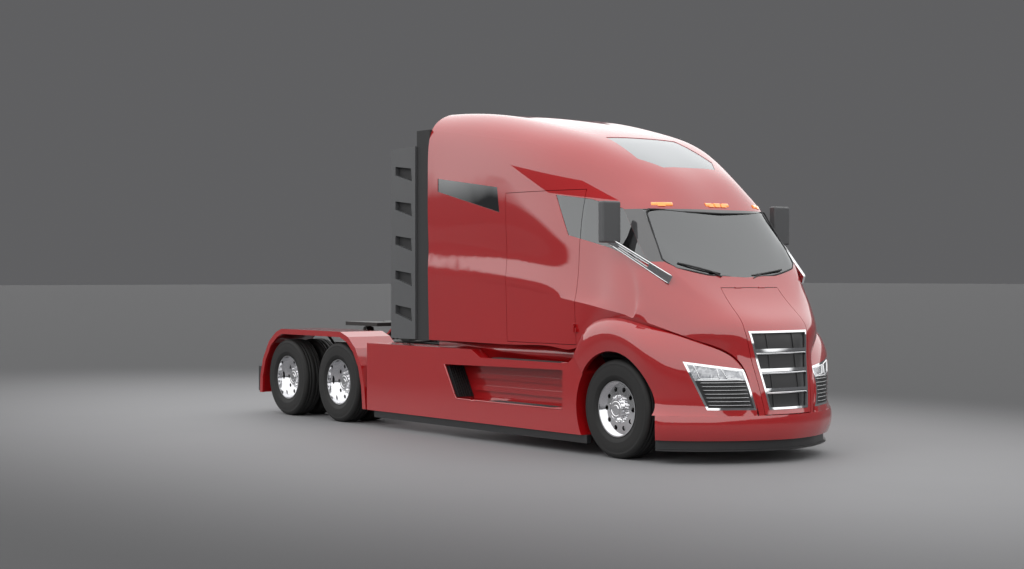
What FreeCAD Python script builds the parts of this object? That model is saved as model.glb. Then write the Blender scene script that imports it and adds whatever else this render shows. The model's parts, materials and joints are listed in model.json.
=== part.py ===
import FreeCAD, Part
import math
import os

# Semi truck tractor unit with a sleeper cab, two twin-wheel drive axles and a fifth wheel.
# Millimetres. +X is forward, +Y is the truck's left, +Z is up. The origin is on the
# ground under the middle of the whole truck.

V = FreeCAD.Vector

# Axle layout
FRONT_OVERHANG = 1400.0
DRIVE_WHEELBASE = 5650.0
TANDEM_SPACING = 1350.0
REAR_OVERHANG = 780.0
DRIVE_1 = -DRIVE_WHEELBASE
DRIVE_2 = DRIVE_1 - TANDEM_SPACING
TANDEM_MIDDLE = (DRIVE_1 + DRIVE_2) / 2
OVERALL_LENGTH = FRONT_OVERHANG + DRIVE_WHEELBASE + TANDEM_SPACING + REAR_OVERHANG
FRONT_AXLE_X = OVERALL_LENGTH / 2 - FRONT_OVERHANG

# Wheels and tyres
TYRE_RADIUS = 525.0
TYRE_WIDTH = 280.0
TYRE_FACE_Y = 1240.0
RIM_RADIUS = 298.0
RIM_WALL = 14.0
TYRE_SEAT_GAP = 0.3
TWIN_SPACING = 343.0
FRONT_DISC = 0.30
REAR_DISC = 0.62
HUB_RADIUS = 95.0
HUB_CAP = 70.0
HUB_LENGTH = 150.0
HUB_LID = 20.0
HUB_RUNNING_GAP = 0.3
SPINDLE_RADIUS = 42.0
AXLE_TUBE_RADIUS = 70.0
AXLE_END_RADIUS = 55.0
DRUM_INNER_Y = 585.0
DRUM_RADIUS = 215.0
HAND_HOLES = 10
HAND_HOLE_RADIUS = 26.0
HAND_HOLE_PITCH_RADIUS = 212.0

# Steering
KINGPIN_Y = 930.0
KINGPIN_RADIUS = 24.0
KNUCKLE_GAP = 6.0
SPRING_Y = 392.0

# Body
HALF_WIDTH = 1270.0
CAB_HEIGHT = 3920.0
DRAWN_HEIGHT = 3920.0
WAIST = 1900.0
CAB_REAR = -3470.0
CAB_BOTTOM = 1150.0
NOSE_BOTTOM = 500.0
SHELL_WALL = 50.0
NOSE_WALL_SHARE = 0.5
BODY_RIBS = 25
RIB_POINTS = 11
TAPER_START_RIB = 15
TAPER_END_RIB = 20
FENDER_RIBS = 13
GLASS_WALL = 12.0
GLASS_INSET = 6.0
GLASS_GAP = 0.0
PANEL_SEAM = 6.0

# Cab inside
SEAT_Y = 560.0
SEAT_BASE = 1620.0
BUNK_BASE = 1850.0
BUNK_FRONT = -2710.0

# Frame
RAIL_OUTER_Y = 432.5
RAIL_HEIGHT = 267.0
RAIL_TOP = 1000.0
RAIL_FLANGE = 90.0
RAIL_WALL = 9.0
RAIL_REAR = DRIVE_2 - REAR_OVERHANG + 80
RAIL_FRONT = 900.0
CROSS_MEMBERS = (RAIL_REAR + 100, TANDEM_MIDDLE, DRIVE_1 + 750, -3600, -2400, -1200, 500, 850)
FENDER_TUBES = (DRIVE_2 + 50, DRIVE_1 - 50)

# Side skirts
SKIRT_TOP = 1067.0
SKIRT_BOTTOM = 213.0
SKIRT_REAR = DRIVE_1 + 785
SKIRT_FRONT = -600.0
SKIRT_WALL = 60.0
RECESS_LOW = (-2880.0, 470.0)
RECESS_TOP = (-3120.0, 870.0)
RECESS_FRONT = -850.0
RECESS_DEPTH = 260.0
UNDER_STRIP_BOTTOM = 125.0

# Wheel arches
ARCH_RADIUS = 612.0

# Fairings behind the cab
SEAL_REAR = -3750.0
FAIRING_REAR = -4295.0
FAIRING_WALL = 50.0
FAIRING_SLOTS = 5

# Mirrors
MIRROR_TIP_Y = 1395.0

# Bumper
BUMPER_TOP = NOSE_BOTTOM
BUMPER_BOTTOM = 245.0
BUMPER_WALL = 60.0
SPLITTER_WALL = 70.0
SPLITTER_BOTTOM = 135.0

# Fifth wheel
PLATE_TOP = 1290.0
PLATE_WIDTH = 900.0
PLATE_LENGTH = 820.0
PLATE_WALL = 50.0
TRUNNION_Z = PLATE_TOP - 100
TRUNNION_RADIUS = 16.0
JAW_RADIUS = 26.0

# Rear fenders
REAR_FENDER_TOP = 1193.0
REAR_FENDER_WALL = 30.0
REAR_FENDER_INNER_Y = 620.0


def ahead(distance):
    """The row's x of a point so far ahead of the front axle."""
    return FRONT_AXLE_X + distance


def box(x0, x1, y0, y1, z0, z1):
    """A block between two x values ahead of the front axle, two y values and two heights."""
    return Part.makeBox(x1 - x0, y1 - y0, z1 - z0, V(ahead(x0), y0, z0))


def rod(start, end, radius):
    """A round bar from one point to another."""
    axis = end.sub(start)
    return Part.makeCylinder(radius, axis.Length, start, axis)


def mirrored(shape):
    """The same piece on the truck's other side."""
    return shape.mirror(V(0, 0, 0), V(0, 1, 0))


def both_sides(shape):
    return [shape, mirrored(shape)]


def side_prism(points, y0, y1):
    """A side-view outline of (ahead, height) points, pulled from y0 to y1."""
    wire = Part.makePolygon([V(ahead(x), y0, z) for x, z in points + points[:1]])
    return Part.Face(wire).extrude(V(0, y1 - y0, 0))


def front_prism(points, x0, x1):
    """A front-view outline of (y, height) points, pulled from x0 to x1 ahead of the axle."""
    wire = Part.makePolygon([V(ahead(x0), y, z) for y, z in points + points[:1]])
    return Part.Face(wire).extrude(V(x1 - x0, 0, 0))


def spline_edge(points, places=None):
    """A smooth edge through points, at given places along it where many edges must match."""
    curve = Part.BSplineCurve()
    if places is None:
        curve.interpolate(points)
    else:
        curve.interpolate(Points=points, Parameters=places)
    return curve.toShape()


def mean_places(rows):
    """Shared places for the points of many rows: the mean distance run along each row."""
    places = [0.0]
    for j in range(1, len(rows[0])):
        runs = [row[j].sub(row[j - 1]).Length for row in rows]
        places.append(places[-1] + sum(runs) / len(runs))
    return places


def turned_y(profile, centre_x, centre_z=TYRE_RADIUS):
    """A ring or disc from (y, radius) points, turned about a wheel's own axis."""
    wire = Part.makePolygon([V(centre_x, y, centre_z + r) for y, r in profile + profile[:1]])
    return Part.Face(wire).revolve(V(centre_x, 0, centre_z), V(0, 1, 0), 360)


# Guide lines of the upper body, one point for each rib from the cab's rear wall over the
# roof, windscreen and hood to the bumper. Each point is its distance ahead of the front
# axle, its inset from the side plane and its height, drawn for DRAWN_HEIGHT.
TOP = DRAWN_HEIGHT
MID = HALF_WIDTH
CENTRE_LINE = [
    (CAB_REAR, MID, TOP), (-2500, MID, TOP - 80), (-1600, MID, TOP - 255),
    (-950, MID, TOP - 435), (-400, MID, TOP - 680), (60, MID, TOP - 990),
    (296, MID, 2618), (495, MID, 2254), (693, MID, 1890), (960, MID, 1590),
    (1190, MID, 1361), (1240, MID, 1130), (1280, MID, 900), (1350, MID, NOSE_BOTTOM),
]
ROOF_LINE = [
    (CAB_REAR, 620, TOP - 8), (-2500, 620, TOP - 90), (-1600, 640, TOP - 268),
    (-955, 670, TOP - 452), (-420, 720, TOP - 702), (35, 770, TOP - 1005),
    (268, 800, 2624), (465, 820, 2268), (665, 800, 1912), (940, 870, 1600),
    (1172, 970, 1361), (1228, 1050, 1130), (1270, 1080, 902), (1341, 1120, NOSE_BOTTOM),
]
EDGE_LINE = [
    (CAB_REAR, 200, TOP - 70), (-2500, 215, TOP - 155), (-1600, 240, TOP - 345),
    (-990, 290, TOP - 540), (-510, 390, TOP - 795), (-90, 480, TOP - 1070),
    (120, 470, 2655), (345, 430, 2318), (565, 400, 1985), (875, 590, 1612),
    (1140, 800, 1352), (1207, 935, 1128), (1256, 980, 906), (1331, 1040, NOSE_BOTTOM),
]
PILLAR_LINE = [
    (CAB_REAR, 55, TOP - 230), (-2500, 62, TOP - 330), (-1600, 75, TOP - 520),
    (-1030, 130, TOP - 720), (-590, 235, TOP - 950), (-240, 320, TOP - 1145),
    (-60, 345, 2668), (190, 285, 2365), (430, 260, 2050), (800, 420, 1600),
    (1098, 690, 1330), (1187, 865, 1122), (1243, 920, 910), (1321, 985, NOSE_BOTTOM),
]
GLASS_TOP_LINE = [
    (CAB_REAR, 4, TOP - 540), (-2500, 6, TOP - 640), (-1600, 12, TOP - 830),
    (-1050, 60, TOP - 990), (-640, 150, TOP - 1130), (-330, 240, TOP - 1220),
    (-140, 285, 2600), (95, 225, 2325), (370, 195, 2010), (735, 305, 1560),
    (1052, 605, 1300), (1164, 810, 1116), (1230, 870, 912), (1312, 945, NOSE_BOTTOM),
]
BELT_LINE = [
    (CAB_REAR, 0, 2600), (-2500, 0, 2550), (-1600, 2, 2480),
    (-1040, 22, 2400), (-640, 78, 2330), (-330, 115, 2268),
    (-120, 135, 2215), (100, 140, 2080), (330, 125, 1880), (670, 220, 1490),
    (1003, 535, 1268), (1137, 758, 1108), (1216, 825, 914), (1302, 908, NOSE_BOTTOM),
]
FOLD_LINE = [
    (CAB_REAR, 0, 1900), (-2500, 0, 1855), (-1600, 0, 1785),
    (-1050, 0, 1712), (-640, 2, 1655), (-350, 8, 1612),
    (-120, 15, 1572), (100, 30, 1535), (330, 60, 1480), (600, 150, 1395),
    (950, 470, 1232), (1105, 710, 1100), (1200, 782, 916), (1290, 870, NOSE_BOTTOM),
]
FOOT_LINE = [
    (CAB_REAR, 18, CAB_BOTTOM), (-2500, 18, CAB_BOTTOM), (-1600, 18, CAB_BOTTOM),
    (-1050, 18, CAB_BOTTOM), (-640, 30, CAB_BOTTOM), (-350, 70, 1330),
    (-120, 100, 1390), (90, 130, 1380), (310, 170, 1320), (550, 280, 1250),
    (870, 590, 1110), (1000, 810, 1000), (1080, 870, 840), (1160, 940, NOSE_BOTTOM),
]
BODY_LINES = [
    CENTRE_LINE, ROOF_LINE, EDGE_LINE, PILLAR_LINE,
    GLASS_TOP_LINE, BELT_LINE, FOLD_LINE, FOOT_LINE,
]


def lifted(height):
    """A drawn height, stretched above the waist so that the roof is at CAB_HEIGHT."""
    if height <= WAIST:
        return height
    return WAIST + (height - WAIST) * (CAB_HEIGHT - WAIST) / (DRAWN_HEIGHT - WAIST)


def raised(outline):
    """An outline with its drawn heights stretched."""
    return [(place, lifted(height)) for place, height in outline]


def rib_places(lines):
    """Where each rib lies along the body: the mean distance run along the guide lines."""
    places = [0.0]
    for k in range(1, len(lines[0])):
        runs = [math.dist(line[k], line[k - 1]) for line in lines]
        places.append(places[-1] + sum(runs) / len(runs))
    return places


def grid_of(lines, ribs):
    """Rows of points from evenly spaced ribs, each from the centre or top outwards and down."""
    places = rib_places(lines)
    columns = []
    for line in lines:
        points = [V(ahead(x), HALF_WIDTH - inset, lifted(z)) for x, inset, z in line]
        curve = Part.BSplineCurve()
        curve.interpolate(Points=points, Parameters=places)
        columns.append([curve.value(places[-1] * k / (ribs - 1)) for k in range(ribs)])
    return [[column[k] for column in columns] for k in range(ribs)]


def facing(along, across):
    normal = along.cross(across)
    normal.normalize()
    return normal


def inward_grid(grid, depth, flat_first, flat_last, crease=None):
    """The grid moved inwards by a depth. The end ribs stay in the planes that close them.

    At the crease's column the two faces beside it are both moved by the full depth.
    """
    moved = []
    for k, row in enumerate(grid):
        before = grid[max(k - 1, 0)]
        after = grid[min(k + 1, len(grid) - 1)]
        flatten = keep_all
        if k == 0:
            flatten = flat_first
        if k == len(grid) - 1:
            flatten = flat_last
        last = len(row) - 1
        step = depth
        if crease is not None:
            step = depth * wall_share(k)
        new_row = []
        for j, point in enumerate(row):
            along = after[j].sub(before[j])
            if crease is not None and j in (crease, last):
                upper = flatten(facing(along, row[j].sub(row[j - 1])))
                lower = upper
                if j == crease:
                    lower = flatten(facing(along, row[j + 1].sub(row[j])))
                shift = upper.add(lower).multiply(1 / (1 + upper.dot(lower)))
            else:
                shift = facing(along, row[min(j + 1, last)].sub(row[max(j - 1, 0)]))
                if abs(point.y) < 1e-6:
                    shift.y = 0
                shift = flatten(shift)
            new_row.append(point.sub(shift.multiply(step)))
        moved.append(new_row)
    return moved


def wall_share(k):
    """The wall thins from the windscreen towards the nose."""
    run = (k - TAPER_START_RIB) / (TAPER_END_RIB - TAPER_START_RIB)
    run = min(max(run, 0), 1)
    return 1 + (NOSE_WALL_SHARE - 1) * run


def keep_all(normal):
    return normal


def drop_x(normal):
    flat = V(0, normal.y, normal.z)
    return flat.normalize()


def drop_y(normal):
    flat = V(normal.x, 0, normal.z)
    return flat.normalize()


def drop_z(normal):
    flat = V(normal.x, normal.y, 0)
    return flat.normalize()


def across_body(row):
    """A rib's points from the left fold over the centre to the right fold."""
    left = row[::-1]
    right = [V(p.x, -p.y, p.z) for p in row[1:]]
    return left + right


def skin_faces(grid):
    """The curved skin from fold to fold, and the two ruled strips from the folds to the feet.

    Returns the skin, the strips and, for each end of the body, the edges that close it.
    """
    rows = [across_body(row[:-1]) for row in grid]
    surface = Part.BSplineSurface()
    surface.interpolate(rows)
    skin = surface.toShape()
    feet = [row[-1] for row in grid]
    foot_left = spline_edge(feet)
    foot_right = spline_edge([V(p.x, -p.y, p.z) for p in feet])
    by_side = sorted(skin.Edges, key=lambda edge: edge.BoundBox.Center.y)
    right, left = by_side[0], by_side[-1]
    ends = sorted(by_side[1:-1], key=lambda edge: edge.BoundBox.Center.x)
    strips = [Part.makeRuledSurface(left, foot_left), Part.makeRuledSurface(right, foot_right)]
    return skin, strips, (foot_left, foot_right), ends


def end_lines(row):
    """The straight edges at one end rib, from the folds down to the feet."""
    fold, foot = row[-2], row[-1]
    return [
        Part.makeLine(fold, foot),
        Part.makeLine(V(fold.x, -fold.y, fold.z), V(foot.x, -foot.y, foot.z)),
    ]


def foot_lines(outer, inner):
    """The two short edges that join the outer and inner feet at one end rib."""
    a, b = outer[-1], inner[-1]
    return [Part.makeLine(a, b), Part.makeLine(V(a.x, -a.y, a.z), V(b.x, -b.y, b.z))]


def capped(edges):
    return Part.Face(Part.Wire(Part.__sortEdges__(edges)))


def sewn(faces):
    shell = Part.makeShell(faces)
    shell.sewShape()
    return Part.makeSolid(shell)


def body_grid(depth):
    """The upper body's ribs at a depth, each with evenly spaced points down to its fold."""
    grid = []
    for row in grid_of(BODY_LINES, BODY_RIBS):
        curve = Part.BSplineCurve()
        curve.interpolate(across_body(row[:-1]))
        points = curve.discretize(Number=2 * RIB_POINTS - 1)[:RIB_POINTS][::-1]
        points[0].y = 0
        grid.append(points[:-1] + row[-2:])
    if depth:
        grid = inward_grid(grid, depth, drop_x, drop_z, RIB_POINTS - 1)
    return grid


def body_wall(outside, inside):
    """A layer of the upper body between two depths below its outer surface."""
    outer = body_grid(outside)
    inner = body_grid(inside)
    skin_out, strips_out, feet_out, ends_out = skin_faces(outer)
    skin_in, strips_in, feet_in, ends_in = skin_faces(inner)
    faces = [skin_out, skin_in] + strips_out + strips_in
    for foot_out, foot_in in zip(feet_out, feet_in):
        faces.append(Part.makeRuledSurface(foot_out, foot_in))
    for k, end in ((0, 0), (-1, 1)):
        edges = [ends_out[end], ends_in[end]] + end_lines(outer[k]) + end_lines(inner[k])
        faces.append(capped(edges + foot_lines(outer[k], inner[k])))
    return sewn(faces)


def body_space(depth):
    """Everything inside a layer at a depth below the outer surface."""
    grid = body_grid(depth)
    skin, strips, feet, ends = skin_faces(grid)
    faces = [skin] + strips + [Part.makeRuledSurface(feet[0], feet[1])]
    for k, end in ((0, 0), (-1, 1)):
        foot = grid[k][-1]
        across = Part.makeLine(foot, V(foot.x, -foot.y, foot.z))
        faces.append(capped([ends[end], across] + end_lines(grid[k])))
    return sewn(faces)


# Outlines in the side view, as distance ahead of the front axle and height
ROOF_SEAM = raised([(CAB_REAR, 3700), (-1520, 3430), (-460, 3070), (-60, 2730), (330, 2630)])
SIDE_WINDOW = raised([
    (-1030, 2825), (-560, 2765), (-175, 2655), (345, 2060), (0, 2160),
    (-177, 2225), (-657, 2338), (-815, 2375),
])
SLEEPER_WINDOW = raised([(-3262, 3100), (-2049, 2949), (-2004, 2657), (-3262, 2943)])
DOOR_FRONT = -645.0
DOOR_REAR = -1880.0
DOOR_TOP = lifted(2870.0)
DOOR_BOTTOM = 1185.0
COWL_SPLIT = raised([(330, 2150), (60, 1700), (60, 1200)])

# Fairings behind the cab, up to the roof
SEAL_TOP = lifted(3708.0)
FAIRING_TOP = lifted(3508.0)
SLOT_PITCH = (FAIRING_TOP - CAB_BOTTOM) * 431 / 2358

# Outlines in the front view, as half width and height
WINDSCREEN_TOP = raised([(0, 2603), (450, 2612), (780, 2640), (885, 2640)])
WINDSCREEN_BOTTOM = raised([(965, 2090), (860, 2010), (480, 1935), (0, 1912)])
SKYLIGHT_EDGE = [(-1010, 520), (-420, 560), (-185, 385)]
HATCH_TOP = 1808.0
HATCH_EDGE = [(0, HATCH_TOP), (420, HATCH_TOP), (462, 1380), (410, 1000), (325, 430)]
GRILLE_BARS = (1160, 958, 757)
GRILLE_EDGE = [(424, 1361), (283, 555)]
HATCH_HINGE = (750.0, HATCH_TOP - PANEL_SEAM / 2)
HATCH_HINGE_Y = 130.0
DOOR_HINGE = (DOOR_FRONT + PANEL_SEAM / 2, HALF_WIDTH + 17)
DOOR_HINGE_HEIGHTS = (1320.0, 1900.0)
BARREL_RADIUS = 9.0
BARREL_LENGTH = 44.0
HINGE_GAP = 0.3


def window_prism(outline, grow=0.0):
    """A side window's outline pulled through the wall, moved in or out by an amount."""
    wire = Part.makePolygon([V(ahead(x), 800, z) for x, z in outline + outline[:1]])
    if grow:
        wire = wire.makeOffset2D(grow)
    return Part.Face(wire).extrude(V(0, HALF_WIDTH, 0))


def windscreen_prism(shrink):
    """The windscreen's outline in the front view, pulled forward through the nose."""
    top = [(y, z) for y, z in WINDSCREEN_TOP]
    bottom = [(y, z) for y, z in WINDSCREEN_BOTTOM]
    outline = top + bottom
    outline += [(-y, z) for y, z in bottom[:-1][::-1]] + [(-y, z) for y, z in top[1:][::-1]]
    wire = Part.makePolygon([V(ahead(-200), y, z) for y, z in outline + outline[:1]])
    if shrink:
        wire = wire.makeOffset2D(-shrink)
    return Part.Face(wire).extrude(V(1200, 0, 0))


def skylight_prism(shrink):
    """The skylight's outline in the top view, pulled up through the roof."""
    outline = SKYLIGHT_EDGE + [(x, -y) for x, y in SKYLIGHT_EDGE[::-1]]
    start = lifted(2900)
    wire = Part.makePolygon([V(ahead(x), y, start) for x, y in outline + outline[:1]])
    if shrink:
        wire = wire.makeOffset2D(-shrink)
    return Part.Face(wire).extrude(V(0, 0, CAB_HEIGHT + 80 - start))


def hatch_prism(shrink):
    outline = HATCH_EDGE + [(-y, z) for y, z in HATCH_EDGE[1:][::-1]]
    wire = Part.makePolygon([V(ahead(500), y, z) for y, z in outline + outline[:1]])
    if shrink:
        wire = wire.makeOffset2D(-shrink)
    return Part.Face(wire).extrude(V(1200, 0, 0))


def grille_prism(grow):
    half_top, top = GRILLE_EDGE[0]
    half_low, low = GRILLE_EDGE[1]
    outline = [(half_top, top), (half_low, low), (-half_low, low), (-half_top, top)]
    wire = Part.makePolygon([V(ahead(600), y, z) for y, z in outline + outline[:1]])
    if grow:
        wire = wire.makeOffset2D(grow)
    return Part.Face(wire).extrude(V(1200, 0, 0))


def door_prism(grow=0.0):
    outline = [
        (DOOR_FRONT + grow, DOOR_BOTTOM - grow), (DOOR_FRONT + grow, DOOR_TOP + grow),
        (DOOR_REAR - grow, DOOR_TOP + grow), (DOOR_REAR - grow, DOOR_BOTTOM - grow),
    ]
    return side_prism(outline, 900, HALF_WIDTH + 100)


def roof_region():
    """Everything above the roof's side seam."""
    above = CAB_HEIGHT + 180
    outline = ROOF_SEAM + [(330, above), (CAB_REAR - 10, above), (CAB_REAR - 10, ROOF_SEAM[0][1])]
    return side_prism(outline, -HALF_WIDTH - 50, HALF_WIDTH + 50)


def cowl_region():
    """Everything ahead of the split below the windscreen's corner."""
    above = lifted(2900)
    outline = COWL_SPLIT + [(60, 400), (1600, 400), (1600, above), (330, above)]
    return side_prism(outline, -HALF_WIDTH - 50, HALF_WIDTH + 50)


def half_region(y0, y1):
    return box(CAB_REAR - 100, 1500, y0, y1, 300, CAB_HEIGHT + 280)


def solids_of(shape, smallest=1e5):
    return [s for s in shape.Solids if s.Volume > smallest]


def hatch_barrels():
    """Two hinges in the hatch's top seam: the fixed halves and the hatch's halves."""
    x, z = HATCH_HINGE
    fixed, moving = [], []
    for side in (1, -1):
        y0 = side * HATCH_HINGE_Y
        y1 = y0 + side * BARREL_LENGTH
        y2 = y1 + side * HINGE_GAP
        y3 = y2 + side * BARREL_LENGTH
        fixed.append(rod(V(ahead(x), y0, z), V(ahead(x), y1, z), BARREL_RADIUS))
        moving.append(rod(V(ahead(x), y2, z), V(ahead(x), y3, z), BARREL_RADIUS))
    return fixed, moving


def widened(bars):
    """Clearance round each barrel, a little longer and wider than the barrel itself."""
    grown = []
    for bar in bars:
        spread = bar.BoundBox
        along_y = spread.YLength > spread.ZLength
        step = V(0, HINGE_GAP, 0) if along_y else V(0, 0, HINGE_GAP)
        centre = spread.Center
        reach = V(0, spread.YLength / 2, 0) if along_y else V(0, 0, spread.ZLength / 2)
        grown.append(rod(centre.sub(reach).sub(step), centre.add(reach).add(step),
                         BARREL_RADIUS + 3 * HINGE_GAP))
    return grown


def door_axles(half):
    """The left door's hinge barrels: half 0 is the cab's lower one, half 1 the door's."""
    x, y = DOOR_HINGE
    step = half * (BARREL_LENGTH + HINGE_GAP)
    return [rod(V(ahead(x), y, z + step), V(ahead(x), y, z + step + BARREL_LENGTH), BARREL_RADIUS)
            for z in DOOR_HINGE_HEIGHTS]


def door_barrels():
    """The left door's two hinges: the cab's halves below and the door's halves above."""
    x, y = DOOR_HINGE
    fixed, moving = [], []
    for z, low, high in zip(DOOR_HINGE_HEIGHTS, door_axles(0), door_axles(1)):
        middle = z + BARREL_LENGTH
        top = middle + HINGE_GAP + BARREL_LENGTH
        low_leaf = box(x, x + 34, y - 48, y - 8, z, middle)
        high_leaf = box(x - 34, x, y - 48, y - 8, middle + HINGE_GAP, top)
        fixed.append(low.fuse(low_leaf))
        moving.append(high.fuse(high_leaf))
    return fixed, moving


def cab_panels():
    """The upper body's panels, cut from one wall along the real panel lines."""
    wall = body_wall(0, SHELL_WALL)
    side_cut = window_prism(SIDE_WINDOW)
    sleeper_cut = window_prism(SLEEPER_WINDOW)
    openings = [windscreen_prism(0), hatch_prism(0), skylight_prism(0)]
    openings += both_sides(side_cut) + both_sides(sleeper_cut)
    shell = wall.cut(openings)
    door = shell.common(door_prism())
    shell = shell.cut([door_prism(PANEL_SEAM), mirrored(door_prism(PANEL_SEAM))])
    roof_part = roof_region()
    cowl_part = cowl_region()
    roof = shell.common(roof_part)
    below = shell.cut(roof_part)
    cowl = below.common(cowl_part)
    sides = below.cut(cowl_part)
    cab_half, door_half = door_barrels()
    inner = body_space(SHELL_WALL)
    cab_half = [bar.cut(inner) for bar in cab_half]
    door_half = [bar.cut(inner) for bar in door_half]
    relief = widened(door_axles(1))
    sides = sides.cut(relief + [mirrored(bar) for bar in relief])
    door = door.cut(widened(door_axles(0))).fuse(door_half)
    sides = sides.fuse(cab_half + [mirrored(bar) for bar in cab_half])
    below_hatch = box(900, 1500, -600, 600, 400, NOSE_BOTTOM + PANEL_SEAM)
    hatch = wall.common(hatch_prism(PANEL_SEAM)).cut([grille_prism(0), below_hatch])
    fixed, moving = hatch_barrels()
    cowl = cowl.cut(widened(moving)).fuse(fixed)
    hatch = hatch.cut(widened(fixed)).fuse(moving)
    return {
        "cab_roof": solids_of(roof),
        "cab_cowl": solids_of(cowl),
        "cab_sides": solids_of(sides),
        "door_left": solids_of(door),
        "door_right": [mirrored(solid) for solid in solids_of(door)],
        "hatch_panel": solids_of(hatch),
    }


def glass_panes():
    """Panes lie a little below the skin, inside their openings."""
    layer = body_wall(GLASS_INSET, GLASS_INSET + GLASS_WALL)
    sky = layer.common(skylight_prism(GLASS_GAP))
    screen = layer.common(windscreen_prism(GLASS_GAP))
    side = layer.common(window_prism(SIDE_WINDOW, -GLASS_GAP))
    above = lifted(3000)
    rear_part = box(-2000, DOOR_FRONT, 700, HALF_WIDTH + 100, 2000, above)
    front_part = box(DOOR_FRONT + PANEL_SEAM, 600, 700, HALF_WIDTH + 100, 2000, above)
    door_pane = side.common(rear_part)
    quarter = side.common(front_part)
    sleeper = layer.common(window_prism(SLEEPER_WINDOW, -GLASS_GAP))
    fixed = solids_of(quarter, 1e4) + solids_of(sleeper, 1e4)
    fixed += [mirrored(s) for s in fixed]
    return {
        "skylight": solids_of(sky, 1e4),
        "windscreen": solids_of(screen, 1e4),
        "fixed_side_glass": fixed,
        "door_glass_left": solids_of(door_pane, 1e4),
        "door_glass_right": [mirrored(s) for s in solids_of(door_pane, 1e4)],
    }


def cab_inside():
    """Floor with seat pedestals and bunk board, and the rear wall, inside the panels."""
    space = body_space(SHELL_WALL + HINGE_GAP)
    floor_top = CAB_BOTTOM + 50
    floor = box(CAB_REAR + 50, -640, -HALF_WIDTH, HALF_WIDTH, CAB_BOTTOM, floor_top)
    board = box(CAB_REAR + 50, BUNK_FRONT, -HALF_WIDTH, HALF_WIDTH, BUNK_BASE - 40, BUNK_BASE)
    pedestals = [box(-1010, -440, side * SEAT_Y - 150, side * SEAT_Y + 150, floor_top, SEAT_BASE)
                 for side in (1, -1)]
    rear = box(CAB_REAR, CAB_REAR + 50, -HALF_WIDTH, HALF_WIDTH, CAB_BOTTOM, CAB_HEIGHT)
    return {
        "cab_floor": [floor.common(space).fuse(pedestals), board.common(space)],
        "cab_rear_wall": [rear.common(space)],
    }


# Guide lines of the front fender, one point for each rib from the rear of the wheel arch
# round to the bumper's middle, as in the upper body. The last line is at the bumper.
FENDER_TOP_LINE = [
    (-650, 30, 1130), (-480, 35, 1360), (-160, 55, 1490), (150, 75, 1480),
    (420, 120, 1425), (620, 175, 1362), (800, 320, 1290), (950, 480, 1210),
    (1050, 650, 1130), (1125, 725, 1040), (1200, 785, 895), (1258, 850, 650),
]
FENDER_RIDGE_LINE = [
    (-650, -2, 1080), (-470, -15, 1300), (-150, -20, 1420), (150, -18, 1410),
    (430, 8, 1340), (640, 70, 1260), (820, 230, 1200), (960, 390, 1140),
    (1060, 570, 1075), (1140, 670, 980), (1215, 765, 830), (1268, 850, 620),
]
FENDER_MID_LINE = [
    (-650, -5, 800), (-480, -22, 950), (-160, -28, 1100), (150, -28, 1100),
    (440, -22, 1000), (670, 30, 900), (850, 175, 870), (990, 335, 840),
    (1100, 500, 800), (1185, 640, 760), (1243, 755, 680), (1279, 850, 560),
]
FENDER_LOW_LINE = [
    (-650, 8, NOSE_BOTTOM), (-480, 0, NOSE_BOTTOM), (-160, -15, NOSE_BOTTOM),
    (150, -15, NOSE_BOTTOM), (450, -10, NOSE_BOTTOM), (680, 15, NOSE_BOTTOM),
    (860, 150, NOSE_BOTTOM), (1000, 305, NOSE_BOTTOM), (1110, 470, NOSE_BOTTOM),
    (1200, 630, NOSE_BOTTOM), (1255, 750, NOSE_BOTTOM), (1286, 850, NOSE_BOTTOM),
]
FENDER_WALL = 45.0


def fender_wall():
    lines = [FENDER_TOP_LINE, FENDER_RIDGE_LINE, FENDER_MID_LINE, FENDER_LOW_LINE]
    outer = grid_of(lines, FENDER_RIBS)
    inner = inward_grid(outer, FENDER_WALL, drop_x, drop_y)
    for row in inner:
        row[-1].z = NOSE_BOTTOM
    places = mean_places(outer)
    back_places = mean_places([row[::-1] for row in outer])
    rings = []
    for out_row, in_row in zip(outer, inner):
        rings.append(Part.Wire([
            spline_edge(out_row, places),
            Part.makeLine(out_row[-1], in_row[-1]),
            spline_edge(in_row[::-1], back_places),
            Part.makeLine(in_row[0], out_row[0]),
        ]))
    return Part.makeLoft(rings, True, False, False, 3)


LAMP_FRAME = 22.0
LAMP_CORNERS = [(810, 1036, 1056), (1202, 523, 971), (1281, 429, 556), (1035, 891, 561)]


def lamp_prism(grow):
    """The lamp's outline, seen along its own outward direction."""
    points = [V(ahead(x), y, z) for x, y, z in LAMP_CORNERS]
    middle = points[0].add(points[1]).add(points[2]).add(points[3]).multiply(0.25)
    out = points[2].sub(points[0]).cross(points[3].sub(points[1]))
    out.z = 0
    out.normalize()
    if out.x < 0:
        out = out.multiply(-1)
    flat = []
    for p in points:
        lift = p.sub(middle).dot(out)
        flat.append(p.sub(V(out).multiply(lift)))
    wire = Part.makePolygon(flat + flat[:1])
    if grow:
        wire = wire.makeOffset2D(grow)
    wire.translate(V(out).multiply(-250))
    return Part.Face(wire).extrude(V(out).multiply(600))


def front_fender():
    wall = fender_wall()
    arch = Part.makeCylinder(ARCH_RADIUS, 800, V(FRONT_AXLE_X, 700, TYRE_RADIUS), V(0, 1, 0))
    below = side_prism([(-800, 400), (-800, 1060), (-640, 1060), (-500, 900), (-500, 400)],
                       900, 1500)
    cut = wall.cut([arch, below, lamp_prism(0), body_space(-4)])
    return solids_of(cut)


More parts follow.
